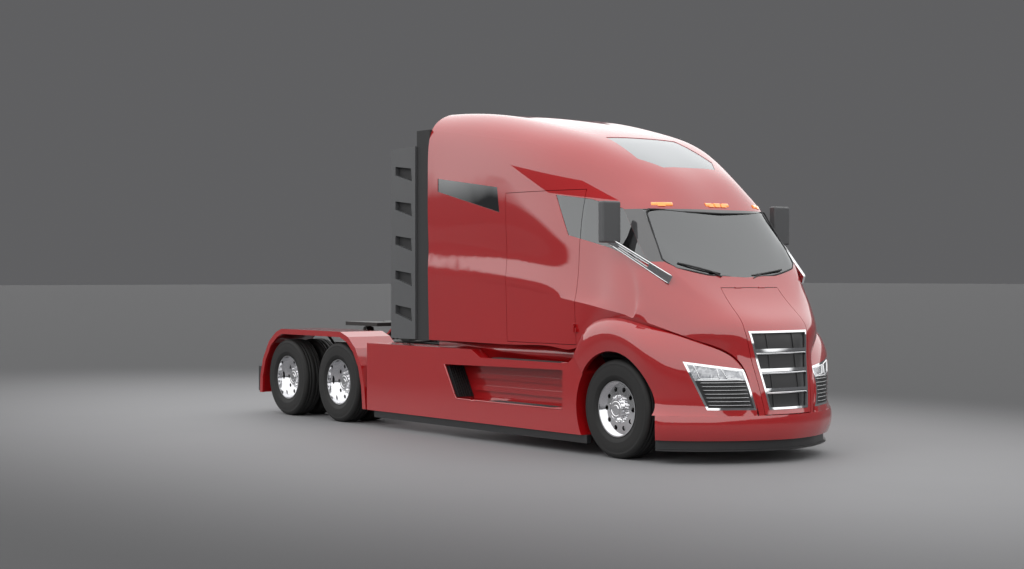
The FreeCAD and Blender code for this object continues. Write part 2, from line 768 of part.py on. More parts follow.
def lamp_parts():
    wall = fender_wall()
    lamp = wall.common(lamp_prism(0))
    frame = lamp.cut(lamp_prism(-LAMP_FRAME))
    inner = lamp.common(lamp_prism(-LAMP_FRAME))
    split = box(600, 1500, 0, 1500, 300, 860)
    return solids_of(frame, 1e4), solids_of(inner.cut(split), 1e4), solids_of(inner.common(split), 1e4)


BUMPER_OUTLINE = [
    (655, 1262), (720, 1245), (880, 1120), (1015, 978), (1130, 815),
    (1225, 650), (1288, 520), (1350, 330), (1387, 160), (FRONT_OVERHANG, 0),
]


def contour(outline, inset, z):
    left = [V(ahead(x - inset), max(y - inset, 0) if y else 0, z) for x, y in outline]
    right = [V(p.x, -p.y, p.z) for p in left[:-1][::-1]]
    return left + right


def bumper_ring(z, inset, wall):
    outer = contour(BUMPER_OUTLINE, inset, z)
    inner = contour(BUMPER_OUTLINE, inset + wall, z)
    return Part.Wire([
        spline_edge(outer),
        Part.makeLine(outer[-1], inner[-1]),
        spline_edge(inner[::-1]),
        Part.makeLine(inner[0], outer[0]),
    ])


def bumper():
    rings = [
        bumper_ring(BUMPER_TOP, 8, BUMPER_WALL),
        bumper_ring((BUMPER_TOP + BUMPER_BOTTOM) / 2 + 30, 0, BUMPER_WALL),
        bumper_ring(BUMPER_BOTTOM, 30, BUMPER_WALL),
    ]
    return Part.makeLoft(rings, True, False, False, 3)


def bumper_space():
    """The bumper and all that lies ahead of it, to trim what reaches it from behind."""
    rings = [
        bumper_ring(BUMPER_TOP, 8 - SPLITTER_WALL, BUMPER_WALL + SPLITTER_WALL),
        bumper_ring((BUMPER_TOP + BUMPER_BOTTOM) / 2 + 30, -SPLITTER_WALL, BUMPER_WALL + SPLITTER_WALL),
        bumper_ring(BUMPER_BOTTOM, 30 - SPLITTER_WALL, BUMPER_WALL + SPLITTER_WALL),
    ]
    return Part.makeLoft(rings, True, False, False, 3)


def splitter():
    """A dark blade under the bumper with a thin lip along its lower edge."""
    blade = Part.Face(bumper_ring(BUMPER_BOTTOM, 64, SPLITTER_WALL))
    lip = Part.Face(bumper_ring(SPLITTER_BOTTOM + 16, 46, SPLITTER_WALL))
    blade = blade.extrude(V(0, 0, SPLITTER_BOTTOM - BUMPER_BOTTOM))
    return blade.fuse(lip.extrude(V(0, 0, -16)))


def tyre(face_y, outward):
    """A tyre whose outer side face is at face_y. Outward is 1 on the left and -1 on the right."""
    w = TYRE_WIDTH
    profile = [
        (0.12 * w, RIM_RADIUS), (0.02 * w, RIM_RADIUS + 45), (0, 0.80 * TYRE_RADIUS),
        (0.03 * w, 0.93 * TYRE_RADIUS), (0.10 * w, 0.985 * TYRE_RADIUS),
        (0.25 * w, TYRE_RADIUS),
    ]
    mirror_side = [(w - y, r) for y, r in profile[::-1]]
    ring = profile + mirror_side
    return [(face_y - outward * y, r) for y, r in ring]


def make_tyre(centre_x, face_y, outward):
    return turned_y(tyre(face_y, outward), centre_x)


def rim(centre_x, face_y, outward, dished):
    """A rim with its disc. The disc sits deep inside a dished rim."""
    w = TYRE_WIDTH
    barrel = [
        (0.08 * w, RIM_RADIUS - TYRE_SEAT_GAP), (0.12 * w, RIM_RADIUS - TYRE_SEAT_GAP),
        (0.88 * w, RIM_RADIUS - TYRE_SEAT_GAP), (0.92 * w, RIM_RADIUS - TYRE_SEAT_GAP),
        (0.92 * w, RIM_RADIUS - RIM_WALL), (0.08 * w, RIM_RADIUS - RIM_WALL),
    ]
    disc_y = REAR_DISC * w if dished else FRONT_DISC * w
    disc = [
        (disc_y, HUB_RADIUS), (disc_y - 20, 150), (disc_y - 10, RIM_RADIUS - RIM_WALL + 2),
        (disc_y + 12, RIM_RADIUS - RIM_WALL + 2), (disc_y, 150), (disc_y + 20, HUB_RADIUS),
    ]
    body = turned_y([(face_y - outward * y, r) for y, r in barrel], centre_x)
    plate = turned_y([(face_y - outward * y, r) for y, r in disc], centre_x)
    holes = []
    for n in range(HAND_HOLES):
        turn = 2 * math.pi * n / HAND_HOLES
        x = centre_x + HAND_HOLE_PITCH_RADIUS * math.cos(turn)
        z = TYRE_RADIUS + HAND_HOLE_PITCH_RADIUS * math.sin(turn)
        y = face_y - outward * (disc_y - 100)
        holes.append(Part.makeCylinder(HAND_HOLE_RADIUS, 200, V(x, y, z), V(0, -outward, 0)))
    plate = plate.cut(holes)
    cap_y = face_y - outward * (disc_y - HUB_CAP)
    hub = wheel_rod(centre_x, cap_y, cap_y - outward * HUB_LENGTH, HUB_RADIUS + 2)
    return body.fuse([plate, hub])


def wheel_rod(centre_x, y0, y1, radius):
    """A round bar along a wheel's axis."""
    return rod(V(centre_x, y0, TYRE_RADIUS), V(centre_x, y1, TYRE_RADIUS), radius)


def front_wheel(outward):
    x = FRONT_AXLE_X
    face = outward * TYRE_FACE_Y
    metal = rim(x, face, outward, False)
    bore = wheel_rod(x, outward * KINGPIN_Y, spindle_end(outward) + outward * HUB_RUNNING_GAP,
                     SPINDLE_RADIUS + HUB_RUNNING_GAP)
    return make_tyre(x, face, outward), metal.cut(bore)


def spindle_end(outward):
    """Where the front spindle ends inside its hub, under the hub's lid."""
    lid = outward * (TYRE_FACE_Y - FRONT_DISC * TYRE_WIDTH + HUB_CAP - HUB_LID)
    return lid - outward * HUB_RUNNING_GAP


def twin_wheel(centre_x, outward):
    face = outward * TYRE_FACE_Y
    inner_face = face - outward * (TWIN_SPACING + TYRE_WIDTH)
    tyres = [
        make_tyre(centre_x, face, outward),
        make_tyre(centre_x, inner_face, -outward),
    ]
    outer_rim = rim(centre_x, face, outward, True)
    inner_rim = rim(centre_x, inner_face, -outward, True)
    drum_y = outward * DRUM_INNER_Y
    tube = wheel_rod(centre_x, drum_y + outward * 120, face - outward * REAR_DISC * TYRE_WIDTH, HUB_RADIUS)
    drum = turned_y([
        (drum_y, DRUM_RADIUS), (drum_y, DRUM_RADIUS - 18), (drum_y + outward * 130, DRUM_RADIUS - 18),
        (drum_y + outward * 130, HUB_RADIUS - 10), (drum_y + outward * 150, HUB_RADIUS - 10),
        (drum_y + outward * 150, DRUM_RADIUS),
    ], centre_x)
    bore = wheel_rod(centre_x, 0, axle_end(outward) + outward * HUB_RUNNING_GAP,
                     AXLE_END_RADIUS + HUB_RUNNING_GAP)
    return tyres, outer_rim.fuse([inner_rim, tube, drum]).cut(bore)


def axle_end(outward):
    """Where a drive axle's spindle ends, under the outer hub's lid."""
    return outward * (TYRE_FACE_Y - REAR_DISC * TYRE_WIDTH + HUB_CAP - HUB_LID)


def frame():
    """Two channel rails with cross members, bumper brackets and rear fender tubes."""
    outline = [
        (RAIL_OUTER_Y, RAIL_TOP), (RAIL_OUTER_Y, RAIL_TOP - RAIL_HEIGHT),
        (RAIL_OUTER_Y - RAIL_FLANGE, RAIL_TOP - RAIL_HEIGHT),
        (RAIL_OUTER_Y - RAIL_FLANGE, RAIL_TOP - RAIL_HEIGHT + RAIL_WALL),
        (RAIL_OUTER_Y - RAIL_WALL, RAIL_TOP - RAIL_HEIGHT + RAIL_WALL),
        (RAIL_OUTER_Y - RAIL_WALL, RAIL_TOP - RAIL_WALL),
        (RAIL_OUTER_Y - RAIL_FLANGE, RAIL_TOP - RAIL_WALL),
        (RAIL_OUTER_Y - RAIL_FLANGE, RAIL_TOP),
    ]
    rail = front_prism(outline, RAIL_REAR, RAIL_FRONT)
    members = []
    inside = RAIL_OUTER_Y - RAIL_WALL
    for x in CROSS_MEMBERS:
        members.append(box(x - 40, x + 40, -inside, inside, RAIL_TOP - 200, RAIL_TOP - 60))
    bracket = side_prism([
        (RAIL_FRONT - 230, RAIL_TOP - RAIL_HEIGHT), (RAIL_FRONT - 40, RAIL_TOP - RAIL_HEIGHT),
        (RAIL_FRONT + 60, BUMPER_TOP - 20), (FRONT_OVERHANG, BUMPER_TOP - 20),
        (FRONT_OVERHANG, BUMPER_BOTTOM + 60), (RAIL_FRONT - 40, BUMPER_BOTTOM + 140),
    ], RAIL_OUTER_Y - RAIL_FLANGE, RAIL_OUTER_Y - RAIL_FLANGE + 16)
    bracket = bracket.cut(bumper_space())
    tubes = []
    for x in FENDER_TUBES:
        height = REAR_FENDER_TOP - REAR_FENDER_WALL - 20 - HINGE_GAP
        tubes.append(rod(V(ahead(x), RAIL_OUTER_Y - 5, 880), V(ahead(x), 640, height), 20))
        tubes.append(rod(V(ahead(x), 640, height), V(ahead(x), HALF_WIDTH - 60, height), 20))
        tubes.append(Part.makeSphere(20, V(ahead(x), 640, height)))
    left = rail.fuse([bracket] + tubes)
    return left.fuse([mirrored(left)] + members)


def front_axle():
    """A dropped beam on two leaf springs, with a bored boss for each kingpin."""
    beam = box(-55, 55, -SPRING_Y - 120, SPRING_Y + 120, 400, 500)
    for side in (1, -1):
        y = side * KINGPIN_Y
        beam = beam.fuse([
            rod(V(ahead(0), y, TYRE_RADIUS - 55), V(ahead(0), y, TYRE_RADIUS + 55), 48),
            front_arm(side),
            leaf_spring(side),
        ])
    pins = [rod(V(ahead(0), side * KINGPIN_Y, 0), V(ahead(0), side * KINGPIN_Y, 900),
                KINGPIN_RADIUS + HUB_RUNNING_GAP) for side in (1, -1)]
    return beam.cut(pins)


def front_arm(side):
    """The beam's arm that rises from the spring seat to the kingpin boss."""
    low, high = SPRING_Y + 60, KINGPIN_Y - 20
    outline = [(low, 400), (low, 500), (high - 150, 560), (high, 560), (high, 490), (high - 120, 480)]
    arm = front_prism(outline, -45, 45)
    return arm if side > 0 else mirrored(arm)


def leaf_spring(side):
    """A bowed pack of leaves, from the hangers under the rail down to the seat on the beam."""
    y0 = side * SPRING_Y - 38
    top = RAIL_TOP - RAIL_HEIGHT
    leaves = []
    for n, half in enumerate((640, 520, 400, 280)):
        drop = 14 * n
        rise = 90 * (half / 640.0) ** 2
        outer = [V(ahead(-half), y0, 560 - drop + rise), V(ahead(0), y0, 560 - drop),
                 V(ahead(half), y0, 560 - drop + rise)]
        inner = [V(p.x, p.y, p.z - 14) for p in outer[::-1]]
        ends = [Part.makeLine(outer[-1], inner[0]), Part.makeLine(inner[-1], outer[0])]
        arcs = [Part.Arc(*outer).toShape(), Part.Arc(*inner).toShape()]
        wire = Part.Wire([arcs[0], ends[0], arcs[1], ends[1]])
        leaves.append(Part.Face(wire).extrude(V(0, 76, 0)))
    saddle = box(-70, 70, y0, y0 + 76, 495, 560)
    hangers = [box(x - 30, x + 30, y0, y0 + 76, 630, top) for x in (-620, 620)]
    return leaves[0].fuse(leaves[1:] + [saddle] + hangers)


def knuckle(outward):
    """The steered knuckle: a forked plate with its kingpin and spindle."""
    y = outward * KINGPIN_Y
    ear_high = TYRE_RADIUS + 55 + HUB_RUNNING_GAP
    ear_low = TYRE_RADIUS - 55 - HUB_RUNNING_GAP
    spindle = wheel_rod(ahead(0), y + outward * 60, spindle_end(outward), SPINDLE_RADIUS)
    near, far = sorted((y + outward * 56, y + outward * 86))
    fork = box(-45, 45, near, far, ear_low - 42, ear_high + 42)
    pin = rod(V(ahead(0), y, ear_low - 60), V(ahead(0), y, ear_high + 60), KINGPIN_RADIUS)
    ears = []
    near, far = sorted((y, y + outward * 70))
    for low, high in ((ear_low - 42, ear_low), (ear_high, ear_high + 42)):
        ears.append(rod(V(ahead(0), y, low), V(ahead(0), y, high), 46))
        ears.append(box(-45, 45, near, far, low, high))
    return spindle.fuse([fork, pin] + ears)


def drive_axles():
    """Two axles with a central drive casing, spindles in the hubs and seats under the rails."""
    axles = []
    for x in (DRIVE_1, DRIVE_2):
        centre = ahead(x)
        tube = wheel_rod(centre, -DRUM_INNER_Y - 20, DRUM_INNER_Y + 20, AXLE_TUBE_RADIUS)
        spindles = wheel_rod(centre, axle_end(-1), axle_end(1), AXLE_END_RADIUS)
        casing = Part.makeSphere(200, V(centre, 0, TYRE_RADIUS))
        cover = rod(V(centre - 215, 0, TYRE_RADIUS), V(centre + 230, 0, TYRE_RADIUS), 130)
        mounts = []
        for side in (1, -1):
            mounts.append(box(x - 60, x + 60, side * 392 - 40, side * 392 + 40, TYRE_RADIUS,
                              RAIL_TOP - RAIL_HEIGHT))
        axles.append(tube.fuse([spindles, casing, cover] + mounts))
    return axles


def skirt():
    """The left skirt: panel, step recess and the pillar behind the wheel arch."""
    outer = HALF_WIDTH
    top = [(SKIRT_REAR, SKIRT_TOP), (-2569, SKIRT_TOP), (-2380, 975), (-760, 975), (-640, 1060)]
    outline = top + [(-500, 900), (-500, SKIRT_BOTTOM), (SKIRT_REAR, SKIRT_BOTTOM)]
    body = side_prism(outline, outer - 380, outer)
    inside = box(SKIRT_REAR - 10, -3250, outer - 400, outer - SKIRT_WALL, SKIRT_BOTTOM - 10, SKIRT_TOP - 50)
    arch = Part.makeCylinder(ARCH_RADIUS, 800, V(FRONT_AXLE_X, 700, TYRE_RADIUS), V(0, 1, 0))
    recess = side_prism([RECESS_LOW, RECESS_TOP, (RECESS_FRONT, RECESS_TOP[1] + 30),
                         (RECESS_FRONT, RECESS_LOW[1])], outer - RECESS_DEPTH, outer + 20)
    behind = box(-3150, -700, outer - 400, outer - RECESS_DEPTH - 40, SKIRT_BOTTOM - 10, 920)
    under = box(-3150, -700, outer - RECESS_DEPTH - 50, outer - SKIRT_WALL, SKIRT_BOTTOM - 10, 440)
    skin = body.cut([inside, arch, recess, behind, under])
    ribs = []
    for z in (600, 745):
        ribs.append(side_prism([(-2800, z - 30), (-2800, z + 30), (RECESS_FRONT, z + 34),
                                (RECESS_FRONT, z - 34)], outer - RECESS_DEPTH - 10,
                               outer - RECESS_DEPTH + 30))
    return skin.fuse([r.common(recess) for r in ribs])


def rear_fender():
    """A continuous band over both drive wheels, with a rolled outer lip.

    The front end is drawn from the first drive axle (a), the rear end from the second (b).
    """
    top = REAR_FENDER_TOP
    wall = REAR_FENDER_WALL
    a, b = DRIVE_1, DRIVE_2
    outer = [
        (b - 714, 285), (b - 700, 520), (b - 622, 760), (b - 450, 1010),
        (b - 250, 1145), (b - 96, top), (a + 128, top), (a + 320, 1130),
        (a + 500, 990), (a + 641, 769), (a + 720, 500), (a + 750, 214),
    ]
    inner = [
        (a + 715, 214), (a + 685, 500), (a + 610, 760), (a + 475, 965),
        (a + 305, 1098), (a + 120, top - wall), (b - 88, top - wall), (b - 235, 1116),
        (b - 427, 985), (b - 592, 750), (b - 668, 515), (b - 682, 285),
    ]
    lip_edge = [
        (a + 675, 214), (a + 645, 495), (a + 572, 742), (a + 444, 936),
        (a + 288, 1061), (a + 112, 1123), (b - 78, 1123), (b - 215, 1079),
        (b - 396, 956), (b - 555, 733), (b - 628, 508), (b - 642, 285),
    ]
    band = side_prism(outer + inner, REAR_FENDER_INNER_Y, HALF_WIDTH - 40)
    lip = side_prism(outer + lip_edge, HALF_WIDTH - 40, HALF_WIDTH)
    return band.fuse(lip)


def gap_fairing():
    y1 = HALF_WIDTH
    outline = [(SEAL_REAR, CAB_BOTTOM), (SEAL_REAR, FAIRING_TOP + 12), (FAIRING_REAR, FAIRING_TOP),
               (FAIRING_REAR, CAB_BOTTOM)]
    panel = side_prism(outline, y1 - FAIRING_WALL, y1)
    slots = []
    for n in range(FAIRING_SLOTS):
        high = FAIRING_TOP - n * SLOT_PITCH
        slots.append(side_prism([(-4194, high - 218), (-3842, high - 255), (-3820, high - 417),
                                 (-4194, high - 325)], y1 - 100, y1 + 20))
    return panel.cut(slots)


def gap_seal():
    outline = [(CAB_REAR, CAB_BOTTOM - 10), (CAB_REAR, SEAL_TOP), (SEAL_REAR, SEAL_TOP),
               (SEAL_REAR, CAB_BOTTOM - 10)]
    strip = side_prism(outline, HALF_WIDTH - 90, HALF_WIDTH - 25)
    inner = HALF_WIDTH - FAIRING_WALL
    backing = box(FAIRING_REAR + 40, SEAL_REAR, inner - 8, inner, CAB_BOTTOM + 40, FAIRING_TOP - 60)
    return strip.fuse(backing)


def fifth_wheel_plate():
    x = TANDEM_MIDDLE
    plate = box(x - PLATE_LENGTH / 2, x + PLATE_LENGTH / 2, -PLATE_WIDTH / 2, PLATE_WIDTH / 2,
                PLATE_TOP - PLATE_WALL, PLATE_TOP)
    jaw = Part.makeCylinder(JAW_RADIUS, 200, V(ahead(x), 0, PLATE_TOP - 150))
    mouth = [(x - 60, 28), (x - PLATE_LENGTH / 2 - 10, 170), (x - PLATE_LENGTH / 2 - 10, -170), (x - 60, -28)]
    wire = Part.makePolygon([V(ahead(a), b, PLATE_TOP - 150) for a, b in mouth + mouth[:1]])
    throat = Part.Face(wire).extrude(V(0, 0, 300))
    ears = []
    for side in (1, -1):
        ears.append(Part.makeCylinder(35, 60, V(ahead(x), side * 330 - 30, TRUNNION_Z), V(0, 1, 0)))
        ears.append(box(x - 35, x + 35, side * 330 - 30, side * 330 + 30, PLATE_TOP - 100, PLATE_TOP - 40))
    bore = rod(V(ahead(x), -400, TRUNNION_Z), V(ahead(x), 400, TRUNNION_Z),
               TRUNNION_RADIUS + HINGE_GAP)
    return plate.cut([jaw, throat]).fuse(ears).cut(bore)


def fifth_wheel_base():
    x = TANDEM_MIDDLE
    deck = box(x - 350, x + 350, -RAIL_OUTER_Y, RAIL_OUTER_Y, RAIL_TOP, RAIL_TOP + 20)
    stands = []
    for side in (1, -1):
        for gap in (-55, 31):
            y = side * 330 + gap
            stands.append(side_prism([(x - 110, RAIL_TOP + 10), (x - 40, PLATE_TOP - 66),
                                      (x + 40, PLATE_TOP - 66), (x + 110, RAIL_TOP + 10)], y, y + 24))
        stands.append(rod(V(ahead(x), side * 330 - 62, TRUNNION_Z),
                          V(ahead(x), side * 330 + 62, TRUNNION_Z), TRUNNION_RADIUS))
    return deck.fuse(stands)


def mirror_parts():
    """A tall mirror head on a slotted blade that rises from the windscreen's corner."""
    base = lifted(2280)
    head = box(-100, -5, 1150, MIRROR_TIP_Y, base, base + 440)
    head = head.makeFillet(22, head.Edges)
    foot = V(ahead(590), 975, 1885)
    tip = V(ahead(-52), 1262, base + 20)
    along = tip.sub(foot)
    reach = along.Length
    along.normalize()
    up = V(0, 0, 1).sub(V(along).multiply(along.z))
    up.normalize()
    across = along.cross(up)
    blade = blade_outline(foot, along, up, 0, reach, 46, 30)
    slot = blade_outline(foot, along, up, 0.36 * reach, 0.86 * reach, 16, 11)
    arm = Part.Face(blade).extrude(V(across).multiply(22))
    arm = arm.cut(Part.Face(slot).extrude(V(across).multiply(22)))
    stalk = rod(V(ahead(-52), 1262, base - 18), V(ahead(-52), 1262, base), 20)
    arm = arm.fuse(stalk).cut([body_space(-HINGE_GAP), box(-200, 200, 1100, 1450, base, base + 220)])
    return head, arm


def blade_outline(foot, along, up, start, end, low, high):
    """A four-sided outline on a blade, between two distances along it and two half heights."""
    corners = [(start, -low), (end, -high), (end, high), (start, low)]
    points = [foot.add(V(along).multiply(run)).add(V(up).multiply(rise)) for run, rise in corners]
    return Part.makePolygon(points + points[:1])


def grille_parts():
    """Chrome frame with three cross bars, and dark slats set back behind it."""
    proud = body_wall(-14, 30).common(grille_prism(0))
    opening = grille_prism(-22)
    frame_part = proud.cut(opening)
    bars = []
    for z in GRILLE_BARS:
        bars.append(proud.common(box(600, 1500, -450, 450, z - 16, z + 16)).common(opening))
    frame_part = frame_part.fuse(bars)
    back = body_wall(46, 62).common(grille_prism(-1))
    slats = [body_wall(30, 46).common(box(600, 1500, y - 9, y + 9, 500, 1400)).common(opening)
             for y in (-190, 190)]
    return frame_part, back.fuse(slats)


def under_strip():
    return box(SKIRT_REAR + 120, -470, HALF_WIDTH - 95, HALF_WIDTH - 35, UNDER_STRIP_BOTTOM, SKIRT_BOTTOM)


def step_treads():
    """Dark tread strips: one on the recess's floor and one on the ledge above it."""
    floor, ledge = RECESS_LOW[1], 975
    lower = box(-2280, -1070, HALF_WIDTH - 200, HALF_WIDTH - 20, floor, floor + 6)
    upper = box(-2190, -900, HALF_WIDTH - 120, HALF_WIDTH - 20, ledge, ledge + 6)
    return [lower, upper]


def intake_louvre():
    """A ribbed panel on the slanted rear wall of the step recess."""
    slant = (RECESS_TOP[0] - RECESS_LOW[0]) / (RECESS_TOP[1] - RECESS_LOW[1])
    low, high = RECESS_LOW[1] + 20, RECESS_TOP[1] - 20
    at = [(RECESS_LOW[0] + slant * (z - RECESS_LOW[1]), z) for z in (low, high)]
    inner, outer = HALF_WIDTH - RECESS_DEPTH, HALF_WIDTH - 14
    plate = side_prism([at[0], at[1], (at[1][0] + 12, high), (at[0][0] + 12, low)], inner, outer)
    ribs = []
    for n in range(7):
        y = inner + 8 + n * (outer - inner - 16) / 7
        ribs.append(side_prism([(at[0][0] + 11, low), (at[1][0] + 11, high), (at[1][0] + 30, high),
                                (at[0][0] + 30, low)], y, y + 14))
    return plate.fuse(ribs)


def battery_block():
    """The battery that hangs between the rails, in one plain block."""
    half = RAIL_OUTER_Y - RAIL_FLANGE + 40
    return box(-3300, -1100, -half, half, 420, RAIL_TOP - RAIL_HEIGHT)


def rear_panels():
    """The dark rear lamp panel on the fender's tail, fitted to the fender's slope."""
    back = DRIVE_2 - REAR_OVERHANG
    outline = [(back, 304), (back, 652), (DRIVE_2 - 657.1, 652), (DRIVE_2 - 700, 520),
               (DRIVE_2 - 712.87, 304)]
    return side_prism(outline, 640, HALF_WIDTH - 20)


def dashboard():
    """The dash panel from wall to wall, with a column and a four-spoked steering wheel."""
    outline = [(-70, 1600), (-70, 1800), (-20, 1850), (230, 1880), (340, 1860), (340, 1560), (60, 1560)]
    body = side_prism(outline, -HALF_WIDTH, HALF_WIDTH).common(body_space(SHELL_WALL + HINGE_GAP))
    centre = V(ahead(-200), SEAT_Y, 1985)
    axis = V(-0.6, 0, 1)
    axis.normalize()
    ring = Part.makeTorus(215, 16, centre, axis)
    hub = rod(centre.sub(V(axis).multiply(30)), centre.add(V(axis).multiply(14)), 55)
    side = V(0, 1, 0)
    forward = axis.cross(side)
    spokes = []
    for n in range(4):
        turn = math.pi / 4 + n * math.pi / 2
        out = V(side).multiply(math.cos(turn)).add(V(forward).multiply(math.sin(turn)))
        spokes.append(rod(centre, centre.add(out.multiply(214)), 9))
    column = rod(V(ahead(-40), SEAT_Y, 1740), centre, 28)
    return body.fuse([ring, hub, column] + spokes)


def marker_lamps():
    """Five thin lamps on the skin over the windscreen, none of them reaching into it."""
    low, high = lifted(2675), lifted(2712)
    inside = body_space(0)
    layer = body_wall(-8, -0.5)
    items = []
    for y, x in ((720, 30), (90, 255), (0, 257), (-90, 255), (-720, 30)):
        spot = layer.common(box(x - 160, x + 160, y - 35, y + 35, low, high))
        items += solids_of(spot.cut(inside), 1e3)
    return items


def seats():
    """Two seats on their pedestals, each a cushion and a back."""
    base = SEAT_BASE + HINGE_GAP
    items = []
    for y in (-SEAT_Y, SEAT_Y):
        items.append(box(-900, -380, y - 250, y + 250, base, base + 140))
        items.append(box(-1030, -900 - HINGE_GAP, y - 240, y + 240, base, base + 760))
    return items


def bunk():
    base = BUNK_BASE + HINGE_GAP
    return box(CAB_REAR + 50 + HINGE_GAP, BUNK_FRONT, -1100, 1100, base, base + 150)


def export(name, shapes):
    shape = shapes[0] if len(shapes) == 1 else Part.makeCompound(shapes)
    shape.exportStep("parts/" + name + ".step")


def main():
    os.makedirs("parts", exist_ok=True)
    nodes = {}
    nodes["chassis_frame"] = [frame()]
    nodes["front_axle"] = [front_axle()]
    nodes["drive_axles"] = drive_axles()
    nodes.update(cab_panels())
    nodes.update(glass_panes())
    nodes.update(cab_inside())
    fender = front_fender()
    nodes["front_fenders"] = fender + [mirrored(s) for s in fender]
    frames, lamps, louvres = lamp_parts()
    nodes["headlamp_frames"] = frames + [mirrored(s) for s in frames]
    nodes["headlamps"] = lamps + [mirrored(s) for s in lamps]
    nodes["lamp_louvres"] = louvres + [mirrored(s) for s in louvres]
    nodes["bumper"] = [bumper()]
    nodes["splitter"] = [splitter()]
    nodes["side_skirts"] = both_sides(skirt())
    nodes["rear_fenders"] = both_sides(rear_fender())
    nodes["gap_fairings"] = both_sides(gap_fairing())
    nodes["gap_seals"] = both_sides(gap_seal())
    nodes["fifth_wheel_plate"] = [fifth_wheel_plate()]
    nodes["fifth_wheel_base"] = [fifth_wheel_base()]
    head, arm = mirror_parts()
    nodes["mirror_heads"] = both_sides(head)
    nodes["mirror_arms"] = both_sides(arm)
    nodes["seats"] = seats() + [bunk()]
    chrome, slats = grille_parts()
    nodes["grille_frame"] = solids_of(chrome, 1e3)
    nodes["grille_slats"] = solids_of(slats, 1e3)
    nodes["under_strips"] = both_sides(under_strip())
    nodes["step_treads"] = step_treads() + [mirrored(s) for s in step_treads()]
    nodes["intake_louvres"] = both_sides(intake_louvre())
    nodes["battery_block"] = [battery_block()]
    nodes["rear_panels"] = both_sides(rear_panels())
    nodes["dashboard"] = [dashboard()]
    nodes["marker_lamps"] = marker_lamps()
    for side, outward in (("left", 1), ("right", -1)):
        nodes["knuckle_" + side] = [knuckle(outward)]
        rubber, metal = front_wheel(outward)
        nodes["front_tyre_" + side] = [rubber]
        nodes["front_rim_" + side] = [metal]
        for number, x in ((1, DRIVE_1), (2, DRIVE_2)):
            rubbers, metal = twin_wheel(ahead(x), outward)
            nodes["drive_tyres_%d_%s" % (number, side)] = rubbers
            nodes["drive_rims_%d_%s" % (number, side)] = [metal]
    for name, shapes in nodes.items():
        export(name, shapes)
        print(name, len(shapes), [s.isValid() for s in shapes])


main()
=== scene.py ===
import json
import math

import bmesh
import bpy
import numpy as np
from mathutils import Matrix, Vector


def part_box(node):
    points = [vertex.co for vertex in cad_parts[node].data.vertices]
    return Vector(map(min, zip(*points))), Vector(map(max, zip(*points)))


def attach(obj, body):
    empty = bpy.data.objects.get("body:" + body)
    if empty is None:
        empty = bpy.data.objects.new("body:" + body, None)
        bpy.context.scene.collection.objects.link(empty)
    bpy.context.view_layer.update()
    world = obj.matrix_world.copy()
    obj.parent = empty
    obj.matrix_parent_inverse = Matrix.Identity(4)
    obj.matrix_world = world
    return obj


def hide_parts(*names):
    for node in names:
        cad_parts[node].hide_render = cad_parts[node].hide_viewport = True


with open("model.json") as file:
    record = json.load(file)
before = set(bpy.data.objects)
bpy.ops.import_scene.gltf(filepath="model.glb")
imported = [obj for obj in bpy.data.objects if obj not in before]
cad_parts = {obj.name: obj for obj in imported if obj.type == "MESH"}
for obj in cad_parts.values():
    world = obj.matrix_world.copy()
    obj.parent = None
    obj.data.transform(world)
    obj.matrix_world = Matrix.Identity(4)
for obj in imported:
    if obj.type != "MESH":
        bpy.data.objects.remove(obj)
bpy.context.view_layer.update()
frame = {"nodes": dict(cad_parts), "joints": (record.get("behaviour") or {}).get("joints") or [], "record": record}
NODES = frame["nodes"]
JOINT_PLACES = {joint["name"]: joint["pos_m"] for joint in frame["joints"]}

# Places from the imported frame, in metres. Places called ahead are ahead of the front axle, at AXLE_X.
AXLE_X, _, TYRE_RADIUS = JOINT_PLACES["front_spin_left"]
DRIVE_AHEAD = [JOINT_PLACES["drive_spin_%d_left" % number][0] - AXLE_X for number in (1, 2)]
TYRE_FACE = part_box("front_tyre_left")[1].y
TYRE_WIDTH = TYRE_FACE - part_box("front_tyre_left")[0].y
TWIN_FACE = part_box("drive_tyres_1_left")[0].y
SIDE_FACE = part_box("side_skirts")[1].y
TAIL_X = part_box("rear_panels")[0].x
GRILLE_LOW, GRILLE_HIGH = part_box("grille_frame")
LAMP_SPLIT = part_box("headlamps")[0].z
MIRROR_LOW, MIRROR_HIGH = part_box("mirror_heads")
STEP_LOW, STEP_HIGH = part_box("step_treads")
BUNK_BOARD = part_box("cab_floor")[1].z


# Node helpers
def fill(node, values):
    """Writes a node's input values by their names or numbers."""
    for label, value in values.items():
        node.inputs[label].default_value = value
    return node


def put(tree, kind, values=None, **settings):
    """A new node with its settings and then its input values."""
    node = tree.nodes.new(kind)
    for key, value in settings.items():
        setattr(node, key, value)
    return fill(node, values or {})


def plug(tree, socket, value):
    """Links an input to another node's output, or writes a plain value into it."""
    if isinstance(value, bpy.types.NodeSocket):
        tree.links.new(value, socket)
    else:
        socket.default_value = value


def math_node(tree, operation, first, second=None):
    """A Math node's result from one or two sockets or plain numbers."""
    node = put(tree, "ShaderNodeMath", operation=operation)
    plug(tree, node.inputs[0], first)
    if second is not None:
        plug(tree, node.inputs[1], second)
    return node.outputs[0]


def within(tree, value, low, high):
    """One where a value lies between two limits, else zero."""
    return math_node(tree, "MULTIPLY", math_node(tree, "GREATER_THAN", value, low),
                     math_node(tree, "LESS_THAN", value, high))


def colour_mix(tree, share, first, second):
    """A colour on the way from the first to the second, by a share from zero to one."""
    node = put(tree, "ShaderNodeMix", data_type="RGBA")
    for label, value in (("Factor", share), ("A", first), ("B", second)):
        plug(tree, node.inputs[label], value)
    return node.outputs["Result"]


